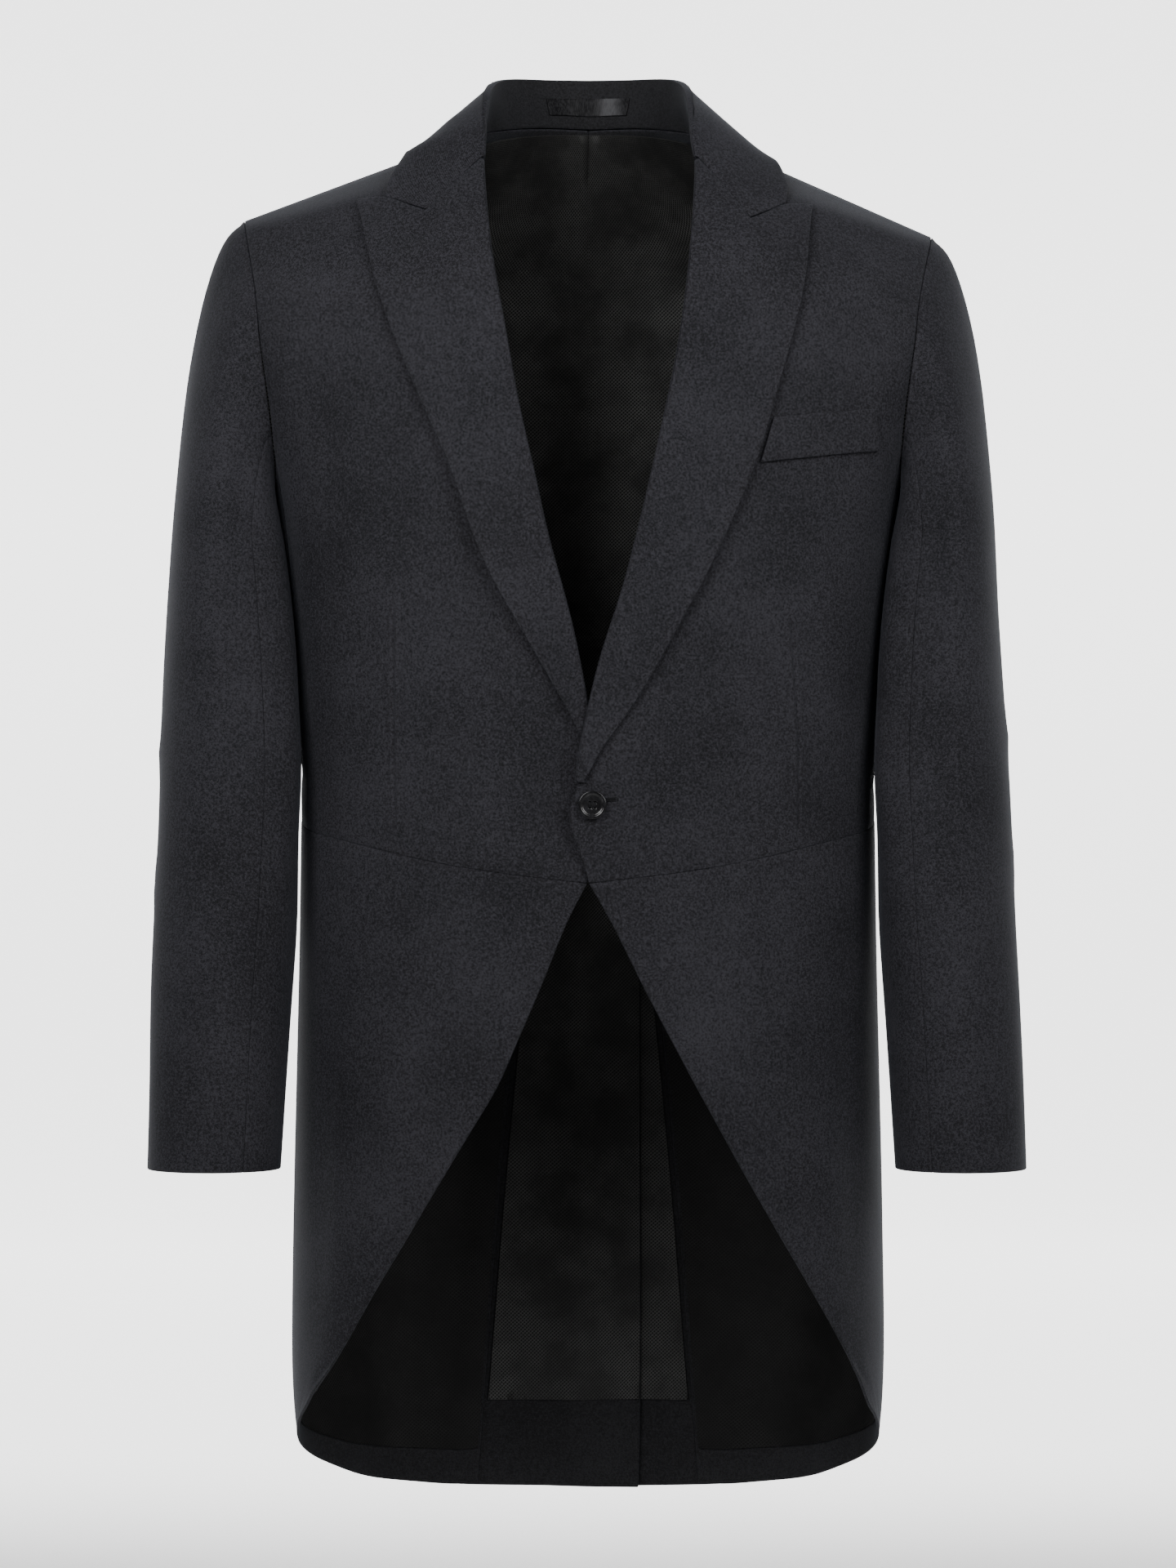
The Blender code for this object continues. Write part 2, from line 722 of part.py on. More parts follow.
def back(side, material, lining, collection):
    """Back and tail in one piece, and its lining."""
    outer_edge = [arm_step_place(k, side) for k in range(ARM_STEPS, BACK_SEAM_STEP - 1, -1)]
    outer_edge += back_seam()[1:]
    seam_count = len(outer_edge)
    for z in back_levels():
        outer_edge.append((angle_at(smooth(BACK_EDGE, "z", "x", z), z, back=True), z))
    hem_angle = outer_edge[-1][0]
    outer_edge[-1] = (hem_angle, smooth(HEM, "angle", "z", hem_angle))
    centre = []
    for k, (_, z) in enumerate(outer_edge):
        if k < seam_count:
            share = k / (seam_count - 1)
            z = BACK_NECK_Z + (outer_edge[seam_count - 1][1] - BACK_NECK_Z) * share
        centre.append(back_centre_place(z, side))
    centre[-1] = (centre[-1][0], smooth(HEM, "angle", "z", 180))
    neck_x = edge_x(0.0, side)
    top = [back_neck_place(s, side) for s in np.linspace(0, 1, NECK_COLUMNS + 1)]
    top[0] = centre[0]
    for x in np.linspace(neck_x, TIP_X, BACK_COLUMNS - NECK_COLUMNS + 1)[1:]:
        z = ridge_z(x, side)
        top.append((angle_at(x, z, back=True), z))
    bottom = [
        (angle, smooth(HEM, "angle", "z", angle))
        for angle in np.linspace(centre[-1][0], hem_angle, BACK_COLUMNS + 1)
    ]
    places = patch(centre, outer_edge, top, bottom)
    inner, normals = body_panel(f"back_{SIDE_NAMES[side]}", side, places, vent_lift(side),
                                material, collection)
    shares = []
    for i, (_, z) in enumerate(outer_edge):
        v = i / (len(outer_edge) - 1)
        half = abs(inner[i, -1, 0] - inner[i, 0, 0])
        low = ease(-z, 425, 455)
        first = LINING_INSET / half
        last = 1 - (LINING_SIDE_INSET + (PLEAT_TUCK + LINING_INSET) * low) / half
        row = []
        for u in np.linspace(first, last, BACK_COLUMNS + 1):
            start = LINING_NECK_SHARE + LINING_SHOULDER_SHARE * u
            row.append((max(v, start) if i == 0 else min(v, 1 - BACK_HEM_SHARE), u))
        shares.append(row)
    lining_panel(f"lining_back_{SIDE_NAMES[side]}", inner, normals, shares, lining, collection)


def skirt_lift(side):
    """Front lap of the waist, upright folds, and the tuck behind the tail's edge."""
    lap = front_lift(side)

    def lift(angle, z, x):
        edge = tail_angle(z)
        tuck = -(CLOTH + LAYER_GAP) * ease(angle, edge - 14, edge - TUCK_START)
        return lap(angle, z, x) + tuck + tail_wave(angle, z)

    return lift


def tail_angle(z, inset=0.0):
    """Angle of the tail's edge, or of a line inside it."""
    return angle_at(smooth(BACK_EDGE, "z", "x", z) - inset, z, back=True)


def skirt_places(side):
    """Grid of the skirt. Its last column runs inside the tail's edge, as the pleat does."""
    rows, columns = SKIRT_ROWS, SKIRT_COLUMNS
    edge = SKIRT_EDGE[side]
    corner = angle_at(edge[-1].x, edge[-1].z)
    start = (angle_at(FRONT_EDGE[-1].left, WAIST_FRONT_Z), WAIST_FRONT_Z)
    path = [start] + [(angle_at(p.x, p.z), float(p.z)) for p in edge]
    path = np.array(path)
    steps = np.hypot(np.diff(path[:, 0]) * 3, np.diff(path[:, 1]))
    lengths = np.concatenate([[0], np.cumsum(steps)])
    at = np.linspace(0, lengths[-1], rows)
    left = [(float(np.interp(s, lengths, path[:, 0])), float(np.interp(s, lengths, path[:, 1])))
            for s in at]
    top_z = WAIST[-1].z - CLOTH
    levels = np.linspace(top_z, HEM[-2].z, rows)
    crease = [(tail_angle(z) - TUCK_START, z) for z in levels]
    crease[-1] = (crease[-1][0], smooth(HEM, "angle", "z", crease[-1][0]))
    top = [(a, smooth(WAIST, "angle", "z", a))
           for a in np.linspace(start[0], crease[0][0], columns - 1)]
    bottom = [(a, smooth(HEM, "angle", "z", a))
              for a in np.linspace(corner, crease[-1][0], columns - 1)]
    top[0], top[-1] = left[0], crease[0]
    bottom[0] = left[-1]
    outside = patch(left, crease, top, bottom)
    tucked = np.array([[(tail_angle(z, PLEAT_TUCK), z)] for _, z in crease])
    return np.concatenate([outside, tucked], axis=1)


def skirt(side, material, lining, collection):
    """Skirt, and its lining, which leaves a strip bare along the front edge and the hem."""
    name = SIDE_NAMES[side]
    inner, normals = body_panel(f"skirt_{name}", side, skirt_places(side), skirt_lift(side),
                                material, collection)
    down = [k / (SKIRT_ROWS - 1) for k in range(SKIRT_ROWS)]
    down[0], down[-1] = SKIRT_TOP_SHARE, 1 - SKIRT_HEM_SHARE
    over = [k / (SKIRT_COLUMNS - 1) for k in range(SKIRT_COLUMNS)]
    over[-1] -= SKIRT_BACK_SHARE / SKIRT_COLUMNS
    shares = []
    for v in down:
        width = np.linalg.norm(sample(inner, v, over[1]) - sample(inner, v, 0.0))
        over[0] = over[1] * min(FACING_WIDTH / width, 0.9)
        shares.append([(v, u) for u in over])
    lining_panel(f"lining_skirt_{name}", inner, normals, shares, lining, collection)


def leaf_point(x, z, side, height):
    """Point on the lapel or collar leaf, at a height above the forepart."""
    angle = angle_at(x, z)
    point = body_point(angle, z, side)
    return point + body_normal(point, side) * (height + front_lift(side)(angle, z, x))


def roll_frame(z, side, lift_fn):
    """Wall end of the forepart at the roll line, and the directions outward and inward."""
    def at(level):
        x = edge_x(level, side)
        point = body_point(angle_at(x, level), level, side)
        normal = body_normal(point, side)
        return point + normal * lift_fn(angle_at(x, level), level, x), normal

    point, normal = at(z)
    along = unit(at(z - 2.0)[0] - at(z + 2.0)[0])
    inward = unit(np.cross(normal, along))
    if inward[0] > 0:
        inward = -inward
    return point, normal, inward


def lapel(side, material, collection):
    """Rolled edge and leaf of the lapel, from the gorge to the break."""
    lift_fn = front_lift(side)
    levels = [z for z in EDGE_LEVELS if z >= LAPEL_END_Z[side]] + [LAPEL_END_Z[side]]
    gorge = GORGE[side]
    corners = [(x, z - GORGE_DROP) for x, z in (gorge.notch, gorge.corner, gorge.peak)]
    end_x = smooth(LAPEL_EDGE, "z", SIDE_NAMES[side], levels[-1])
    end_x = max(end_x, edge_x(levels[-1], side) + 4.0)
    outer_z = [corners[-1][1]] + list(np.linspace(PEAK_LOW_Z, levels[-1], len(levels) - 1))
    outer = [(corners[-1][0], corners[-1][1])]
    outer += [(smooth(LAPEL_EDGE, "z", SIDE_NAMES[side], z), z) for z in outer_z[1:]]
    outer[-1] = (end_x, levels[-1])
    shares = (0.0, 0.22, 0.45, 0.67, 0.84, 1.0)
    roll = [(edge_x(z, side) + 1.0, z - (0.0 if k else GORGE_DROP)) for k, z in enumerate(levels)]
    top = [
        roll[0],
        tuple(np.array(roll[0]) + (np.array(corners[0]) - np.array(roll[0])) * 0.5),
        corners[0],
        tuple((np.array(corners[0]) + np.array(corners[1])) / 2),
        corners[1],
        corners[2],
    ]
    bottom = [tuple(np.array(roll[-1]) + (np.array(outer[-1]) - np.array(roll[-1])) * s)
              for s in shares]
    grid = patch(roll, outer, top, bottom)
    arc_turns = (0, 45, 90, 135, 180)
    columns = len(arc_turns) + len(shares) - 1
    middle = np.zeros((len(levels), columns, 3))
    across = np.zeros_like(middle)
    for i, z in enumerate(levels):
        end, normal, inward = roll_frame(z - (0.0 if i else GORGE_DROP), side, lift_fn)
        for k, turn in enumerate(arc_turns):
            sine, cosine = math.sin(math.radians(turn)), math.cos(math.radians(turn))
            middle[i, k] = (end + inward * (SEAM_HALF_GAP + ROLL_RADIUS * sine)
                            + normal * (ROLL_RADIUS * (1 - cosine) - CLOTH / 2))
            across[i, k] = inward * sine - normal * cosine
        for k in range(1, len(shares)):
            x, level = grid[i, k]
            share = shares[k]
            height = LEAF_LIFT + LEAF_RISE * ease(share, 0.0, 0.3) * (1 - ease(-level, 340, 400))
            sprung = ease(-level, 190, 290) * (1 - ease(-level, 330, 385))
            height += LAPEL_SPRING[side] * share ** 2 * sprung
            angle = angle_at(x, level)
            foot = body_point(angle, level, side)
            lean = body_normal(foot, side)
            middle[i, len(arc_turns) - 1 + k] = foot + lean * (height + lift_fn(angle, level, x))
            across[i, len(arc_turns) - 1 + k] = lean
    middle = np.array([[mirrored(p, side) for p in row] for row in middle])
    across = np.array([[mirrored(p, side) for p in row] for row in across])
    front = middle + across * CLOTH / 2
    behind = middle - across * CLOTH / 2
    front, behind = trimmed([front, behind], across, SEAM_HALF_GAP)
    write_mesh(f"lapel_{SIDE_NAMES[side]}", front, behind, material, collection)


class CollarFold(NamedTuple):
    """Fold of the collar from the gorge to the centre back, as the share along the seam."""

    share: float
    x: float
    y: float
    z: float


COLLAR_FOLD = (
    CollarFold(share=0.13, x=71.0, y=-33, z=-6),
    CollarFold(share=0.30, x=71.5, y=-3, z=22),
    CollarFold(share=0.46, x=66.0, y=34, z=38),
    CollarFold(share=0.62, x=51.0, y=58, z=43.5),
    CollarFold(share=0.80, x=27.0, y=77, z=45.5),
    CollarFold(share=1.0, x=0.0, y=83, z=46),
)


class CollarEdge(NamedTuple):
    """Outer edge of the collar's fall, on the forepart and then on the back."""

    share: float
    x: float
    z: float
    behind: bool


COLLAR_EDGE = (
    CollarEdge(share=0.13, x=137, z=-42, behind=False),
    CollarEdge(share=0.28, x=131, z=-30, behind=False),
    CollarEdge(share=0.40, x=124, z=-22, behind=False),
    CollarEdge(share=0.50, x=117, z=-18.5, behind=True),
    CollarEdge(share=0.64, x=97, z=-21, behind=True),
    CollarEdge(share=0.80, x=58, z=-20, behind=True),
    CollarEdge(share=1.0, x=0, z=-18, behind=True),
)
COLLAR_FRONT_STEPS = 3
COLLAR_START_Z = GORGE_Z + 0.4
NECK_POINT_SHARE = 0.30
FOLD_START_SHARE = 0.13


def neck_seam_places(side):
    """Neck edge of forepart and back, from the gorge to the centre back, with its share."""
    places = []
    neck_x = edge_x(0.0, side)
    neck_z = ridge_z(neck_x, side)
    for k in range(COLLAR_FRONT_STEPS + 1):
        s = k / COLLAR_FRONT_STEPS
        z = GORGE_Z + 2.0 + (neck_z - GORGE_Z - 2.0) * s
        places.append((NECK_POINT_SHARE * s, angle_at(edge_x(z, side), z), z))
    for k in range(1, NECK_COLUMNS * 2 + 1):
        s = k / (NECK_COLUMNS * 2)
        angle, z = back_neck_place(1 - s, side)
        places.append((NECK_POINT_SHARE + (1 - NECK_POINT_SHARE) * s, angle, z))
    return places


def push_clear(point, side, need):
    """Moves a point out of the body form until it is that far from its surface."""
    for _ in range(3):
        x, y, z = point
        if z >= ridge_z(x, side) - 0.02:
            height = (z - ridge_z(x, side)) * math.cos(math.atan(SHOULDER_SLOPE[side]))
            if height < need and abs(x) > NECK_X:
                point = point + np.array([0, 0, need - height])
            return point
        angle = angle_at(x, z, back=y > MID_Y)
        foot = body_point(angle, z, side)
        foot[0] = x
        normal = body_normal(foot, side)
        room = float((point - foot) @ normal)
        if room >= need:
            return point
        point = point + normal * (need - room)
    return point


def collar_half(side):
    """Middle surface of half the collar and its outward side, from the gorge to the back."""
    gorge = GORGE[side]
    roll = (edge_x(GORGE_Z, side) + 1.0, GORGE_Z)
    shares = (0.0, 0.3, 0.6, 0.8, 1.0)
    gorge_line = [
        roll, tuple((np.array(roll) + np.array(gorge.notch)) / 2), gorge.notch,
        tuple((np.array(gorge.notch) + np.array(gorge.corner)) / 2), gorge.corner,
    ]
    gorge_points = [leaf_point(x, z, side, LEAF_LIFT) for x, z in gorge_line]
    rows = []
    for share, angle, z in neck_seam_places(side):
        point = body_point(angle, z, side)
        normal = body_normal(point, side)
        back_half = share > NECK_POINT_SHARE
        if share < 0.02:
            end, normal, inward = roll_frame(COLLAR_START_Z, side, front_lift(side))
            apex_direction, out = inward, normal
            fold = (end + inward * (SEAM_HALF_GAP + STAND_LEAST + ROLL_RADIUS)
                    + normal * (ROLL_RADIUS - CLOTH / 2))
            radius = ROLL_RADIUS
            start = end + inward * SEAM_HALF_GAP - normal * CLOTH / 2
        else:
            fold = np.array([smooth(COLLAR_FOLD, "share", c, share) for c in "xyz"])
            if share < FOLD_START_SHARE:
                end, _, inward = roll_frame(COLLAR_START_Z, side, front_lift(side))
                first = end + inward * (SEAM_HALF_GAP + STAND_LEAST + ROLL_RADIUS)
                fold = first + (fold - first) * share / FOLD_START_SHARE
            radius = ROLL_RADIUS + (COLLAR_ROLL_RADIUS - ROLL_RADIUS) * ease(share, 0.0, 0.3)
            earlier = max(share - 0.02, FOLD_START_SHARE)
            later = min(max(share, FOLD_START_SHARE) + 0.02, 1.0)
            before = np.array([smooth(COLLAR_FOLD, "share", c, earlier) for c in "xyz"])
            after = np.array([smooth(COLLAR_FOLD, "share", c, later) for c in "xyz"])
            run = unit(after - before)
            rise = ease(share, 0.0, 0.35)
            inward = np.array([-1.0, 0.0, 0.0])
            if back_half:
                inward = unit(np.array([-fold[0], -40, 0.0]))
            apex_direction = inward * (1 - rise) + np.array([0, 0, 1.0]) * rise
            apex_direction = unit(apex_direction - run * float(apex_direction @ run))
            out = unit(np.cross(run, apex_direction))
            forward = np.array([0.3 * fold[0] / NECK_X, -1.0, 0.5])
            backward = np.array([fold[0] / NECK_X, ease(share, 0.3, 0.8), 0.0])
            if float(out @ (forward * (1 - rise) + backward * rise)) < 0:
                out = -out
            stand = unit(fold - point)
            into = unit(stand - normal * float(stand @ normal))
            leaning = abs(float(stand @ normal))
            start = point - normal * CLOTH / 2 + into * (SEAM_HALF_GAP + CLOTH / 2 * leaning)
        centre = fold - apex_direction * radius
        arc = [(centre + radius * (apex_direction * math.sin(math.radians(t))
                                   - out * math.cos(math.radians(t))),
                apex_direction * math.sin(math.radians(t)) - out * math.cos(math.radians(t)))
               for t in (0, 45, 90, 135, 180)]
        first, last = arc[0][0], arc[-1][0]
        if share < 0.02:
            edge = gorge_points[-1]
        else:
            edge_share = max(share, FOLD_START_SHARE)
            x = smooth(COLLAR_EDGE, "share", "x", edge_share)
            level = smooth(COLLAR_EDGE, "share", "z", edge_share)
            behind = edge_share > 0.45
            level = min(level, ridge_z(x, side) - 0.3)
            foot = body_point(angle_at(x, level, back=behind), level, side)
            edge = foot + body_normal(foot, side) * (LEAF_LIFT + 0.4)
            if share < FOLD_START_SHARE:
                edge = gorge_points[-1] + (edge - gorge_points[-1]) * share / FOLD_START_SHARE
        fade = 1 - ease(share, 0.0, 0.22)
        clear = LEAF_LIFT + (0.2 if share > 0.02 else 0.0)
        leaf = []
        for k, w in enumerate(shares[1:], start=1):
            straight = last + (edge - last) * w
            bend = gorge_points[k] - (gorge_points[0] + (gorge_points[-1] - gorge_points[0]) * w)
            leaf.append(push_clear(straight + bend * fade, side, clear))
        stand_points = [start, start + (first - start) * 0.5]
        row = stand_points + [p for p, _ in arc] + leaf
        rows.append([mirrored(p, side) for p in row])
    return rows


def grid_normals(grid):
    """Unit normals of a grid of points, from the directions to each point's neighbours."""
    rows, columns = grid.shape[:2]
    normals = np.zeros_like(grid)
    for i in range(rows):
        for j in range(columns):
            along = np.zeros(3)
            across = np.zeros(3)
            for a, b in ((i - 1, i), (i, i + 1)):
                if 0 <= a and b < rows:
                    along += unit(grid[b, j] - grid[a, j])
            for a, b in ((j - 1, j), (j, j + 1)):
                if 0 <= a and b < columns:
                    across += unit(grid[i, b] - grid[i, a])
            normals[i, j] = unit(np.cross(along, across))
    return normals


def collar(material, collection):
    """Stand, fold and fall as one folded wall, from gorge to gorge round the back neck."""
    right, left = collar_half(RIGHT), collar_half(LEFT)
    middle = np.array(right + left[-2::-1])
    normals = grid_normals(middle)
    front = middle + normals * CLOTH / 2
    behind = middle - normals * CLOTH / 2
    front, behind = trimmed([front, behind], normals, SEAM_HALF_GAP * 0.5)
    write_mesh("collar", front, behind, material, collection)
    return middle, normals


def sleeve_section(turn, z, side):
    """Point of a level sleeve section, turn 0 outside, 90 in front and 180 inside."""
    outer = smooth(SLEEVE, "z", "outer_" + SIDE_NAMES[side], z)
    inner = smooth(SLEEVE, "z", "inner", z)
    depth = smooth(SLEEVE, "z", "depth", z) / 2
    a = math.radians(turn)
    x = (outer + inner) / 2 + (outer - inner) / 2 * math.cos(a)
    away = min(abs((turn - HUG_TURN + 180) % 360 - 180) / HUG_REACH, 1.0)
    x -= smooth(SLEEVE, "z", "hug", z) * math.cos(away * math.pi / 2) ** 2
    y = smooth(SLEEVE, "z", "mid_y", z) - depth * math.sin(a)
    return np.array([x, y, z])


def crease_height(turn, z):
    total = 0.0
    for crease in SLEEVE_CREASES:
        around = (turn - crease.turn + 180) % 360 - 180
        level = z - crease.z - crease.slant * around
        total += crease.height * math.exp(
            -((around / crease.turn_reach) ** 2) - (level / crease.z_reach) ** 2)
    return total


def sleeve_start(turn, side):
    """Start of the sleeve at the armhole, and the direction in which its cloth leaves."""
    def armhole_point(at):
        return body_point(*armhole_place(at % 360, side), side)

    point = armhole_point(turn)
    normal = body_normal(point, side)
    run = unit(armhole_point(turn + 2) - armhole_point(turn - 2))
    into = unit(np.cross(run, normal))
    if float(into @ (np.array(CAP_CENTRE) - point)) < 0:
        into = -into
    under = (1 - math.cos(math.radians(turn))) / 2
    swing = math.radians(CAP_SWING) * under**CAP_SWING_POWER
    leave = into * math.cos(swing) + normal * math.sin(swing)
    gap_turn = min(swing, math.pi / 2)
    start = point + ARMHOLE_GAP * (into * math.cos(gap_turn) + normal * math.sin(gap_turn))
    return start, leave


def sleeve_point(turn, row, side):
    """Point of the sleeve: cap rows run from the armhole to the first level section."""
    top = SLEEVE[0]
    if row < len(CAP_SHARES):
        s = CAP_SHARES[row]
        start, leave = sleeve_start(turn, side)
        end = sleeve_section(turn, top.z, side)
        span = np.linalg.norm(end - start)
        down = sleeve_section(turn, top.z - 10, side) - end
        down = unit(down)
        point = (
            (2 * s**3 - 3 * s**2 + 1) * start + (s**3 - 2 * s**2 + s) * CAP_LEAVE * span * leave
            + (3 * s**2 - 2 * s**3) * end + (s**3 - s**2) * CAP_ARRIVE * span * down
        )
        height = crease_height(turn, point[2]) * ease(s, 0.2, 1.0)
    else:
        point = sleeve_section(turn, SLEEVE[row - len(CAP_SHARES)].z, side)
        height = crease_height(turn, point[2])
    outer_share = 1 - ease(math.cos(math.radians(turn - 180)), 0.2, 0.8)
    a = math.radians(turn)
    return point + np.array([math.cos(a), -math.sin(a), 0]) * height * outer_share


def sleeve_part(name, side, first, last, material, collection):
    """Part of the sleeve between two of its long seams."""
    rows = len(CAP_SHARES) + len(SLEEVE)
    turns = [360.0 * k / ARM_STEPS for k in range(first, last + 1)]
    outer = np.zeros((rows, len(turns), 3))
    normals = np.zeros_like(outer)
    for i in range(rows):
        for j, turn in enumerate(turns):
            point = sleeve_point(turn, i, side)
            ahead = sleeve_point(turn + 1.5, i, side) - sleeve_point(turn - 1.5, i, side)
            below = sleeve_point(turn, min(i + 1, rows - 1), side)
            above = sleeve_point(turn, max(i - 1, 0), side)
            if i == 0:
                down = sleeve_start(turn, side)[1]
            elif i < rows - 1:
                down = unit(below - point) + unit(point - above)
            else:
                down = below - above
            normal = unit(np.cross(ahead, down))
            outer[i, j] = mirrored(point, side)
            normals[i, j] = mirrored(normal, side)
    outer, inner = trimmed([outer, outer - CLOTH * normals], normals, SEAM_HALF_GAP)
    write_mesh(name, outer, inner, material, collection)


def sleeves(side, material, collection):
    name = SIDE_NAMES[side]
    sleeve_part(f"topsleeve_{name}", side, SLEEVE_SEAM_BACK, ARM_STEPS + SLEEVE_SEAM_FRONT,
                material, collection)
    sleeve_part(f"undersleeve_{name}", side, SLEEVE_SEAM_FRONT, SLEEVE_SEAM_BACK,
                material, collection)


def breast_welt(material, collection):
    """Welt of the left breast pocket, a slanting strip that starts at the lapel's edge."""
    rows, columns = 3, 7
    front = np.zeros((rows, columns, 3))
    behind = np.zeros_like(front)
    for i in range(rows):
        v = i / (rows - 1)
        for j in range(columns):
            u = j / (columns - 1)
            high, low = ((1 - u) * np.array(edge[0]) + u * np.array(edge[1])
                         for edge in (WELT_TOP, WELT_LOW))
            x, z = high * (1 - v) + low * v
            front[i, j] = mirrored(leaf_point(x, z, LEFT, WELT_LIFT + CLOTH), LEFT)
            behind[i, j] = mirrored(leaf_point(x, z, LEFT, WELT_LIFT), LEFT)
    write_mesh("breast_welt", front, behind, material, collection)


def button(name, centre, normal, material, collection):
    """Round button with a raised rim and a dished face, turned from its profile."""
    radius, thick = BUTTON_WIDTH / 2, BUTTON_THICK
    profile = [
        (0.0, thick * 0.62), (radius * 0.55, thick * 0.66), (radius * 0.72, thick),
        (radius * 0.88, thick * 0.97), (radius, thick * 0.6), (radius * 0.96, thick * 0.28),
        (radius * 0.6, 0.0), (0.0, 0.0),
    ]
    bm = bmesh.new()
    verts = [bm.verts.new((r * MM, 0, h * MM)) for r, h in profile]
    edges = [bm.edges.new(pair) for pair in zip(verts, verts[1:])]
    bmesh.ops.spin(bm, geom=verts + edges, cent=(0, 0, 0), axis=(0, 0, 1),
                   angle=math.tau, steps=20, use_merge=True)
    bmesh.ops.remove_doubles(bm, verts=bm.verts, dist=1e-5)
    bmesh.ops.recalc_face_normals(bm, faces=bm.faces)
    across = unit(np.cross([0, 0, 1.0], normal))
    up = np.cross(normal, across)
    for vert in bm.verts:
        local = np.array(vert.co) / MM
        vert.co = (centre + across * local[0] + up * local[1] + normal * local[2]) * MM
    return add_object(name, bm, material, collection)


def buttons(material, collection):
    lift = front_lift(LEFT)
    angle = angle_at(FRONT_BUTTON_X, FRONT_BUTTON_Z)
    point = body_point(angle, FRONT_BUTTON_Z, LEFT)
    normal = body_normal(point, LEFT)
    height = lift(angle, FRONT_BUTTON_Z, FRONT_BUTTON_X) + BUTTON_GAP
    button("front_button", point + normal * height, normal, material, collection)
    for side in (RIGHT, LEFT):
        angle = angle_at(BACK_BUTTON_X, BACK_BUTTON_Z, back=True)
        point = body_point(angle, BACK_BUTTON_Z, side)
        normal = body_normal(point, side)
        button(f"waist_button_{SIDE_NAMES[side]}", mirrored(point + normal * BUTTON_GAP, side),
               mirrored(normal, side), material, collection)


def hanger_loop(middle, normals, material, collection):
    """Bare satin strip on the inner face of the collar's stand, at the centre back."""
    columns = 7
    front = np.zeros((3, columns, 3))
    behind = np.zeros_like(front)
    low, high, lean = middle[:, 0], middle[:, 2], normals[:, 1]
    if lean[len(lean) // 2][1] > 0:
        lean = -lean
    climb = np.array([unit(b - a) for a, b in zip(low, high)])
    seat = low + climb * LOOP_RISE + lean * (CLOTH / 2 + LOOP_GAP)
    order = np.argsort(seat[:, 0])
    for j, x in enumerate(np.linspace(-LOOP_LENGTH / 2, LOOP_LENGTH / 2, columns)):
        base, up, out = (np.array([np.interp(x, seat[order, 0], field[order, c]) for c in range(3)])
                         for field in (seat, climb, lean))
        for i in range(3):
            behind[i, j] = base + unit(up) * LOOP_WIDTH / 2 * (1 - i)
            front[i, j] = behind[i, j] + unit(out) * LOOP_THICK
    write_mesh("hanger_loop", front, behind, material, collection)


def make_material(name, colour, roughness, metallic=0.0):
    material = bpy.data.materials.new(name)
    material.use_nodes = True
    shader = material.node_tree.nodes["Principled BSDF"]
    shader.inputs["Base Color"].default_value = (*colour, 1.0)
    shader.inputs["Roughness"].default_value = roughness
    shader.inputs["Metallic"].default_value = metallic
    return material


def main():
    for obj in list(bpy.data.objects):
        bpy.data.objects.remove(obj, do_unlink=True)
    coat = bpy.data.collections.new("morning_coat")
    bpy.context.scene.collection.children.link(coat)
    cloth = make_material("charcoal_wool", (0.022, 0.024, 0.028), 0.85)
    lining = make_material("black_lining", (0.006, 0.006, 0.007), 0.45)
    horn = make_material("button_black", (0.012, 0.012, 0.013), 0.25)
    satin = make_material("loop_satin", (0.01, 0.01, 0.011), 0.35)
    for side in (RIGHT, LEFT):
        forepart(side, cloth, coat)
        side_body(side, cloth, coat)
        back(side, cloth, lining, coat)
        skirt(side, cloth, lining, coat)
        lapel(side, cloth, coat)
        sleeves(side, cloth, coat)
    middle, normals = collar(cloth, coat)
    hanger_loop(middle, normals, satin, coat)
    breast_welt(cloth, coat)
    buttons(horn, coat)


main()
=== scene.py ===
import logging
import math
from collections.abc import Callable, Sequence
from dataclasses import dataclass, field
from enum import Enum
from typing import Union

import bmesh
import bpy
import numpy as np
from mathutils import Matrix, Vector
from mathutils.bvhtree import BVHTree


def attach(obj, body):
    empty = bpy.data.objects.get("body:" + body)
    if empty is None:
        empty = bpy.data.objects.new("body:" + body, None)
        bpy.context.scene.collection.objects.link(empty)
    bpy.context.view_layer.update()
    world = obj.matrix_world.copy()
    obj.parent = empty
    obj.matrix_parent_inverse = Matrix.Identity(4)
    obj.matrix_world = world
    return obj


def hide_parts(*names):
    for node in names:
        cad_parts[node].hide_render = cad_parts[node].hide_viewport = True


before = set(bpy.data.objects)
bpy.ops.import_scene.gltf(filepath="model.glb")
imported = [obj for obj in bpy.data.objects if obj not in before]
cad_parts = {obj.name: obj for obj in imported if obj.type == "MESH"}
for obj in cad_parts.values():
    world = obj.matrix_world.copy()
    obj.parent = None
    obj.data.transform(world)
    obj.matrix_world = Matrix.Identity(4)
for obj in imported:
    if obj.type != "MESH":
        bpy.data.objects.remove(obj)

# Sizes are in metres and angles in degrees, unless a name says otherwise.

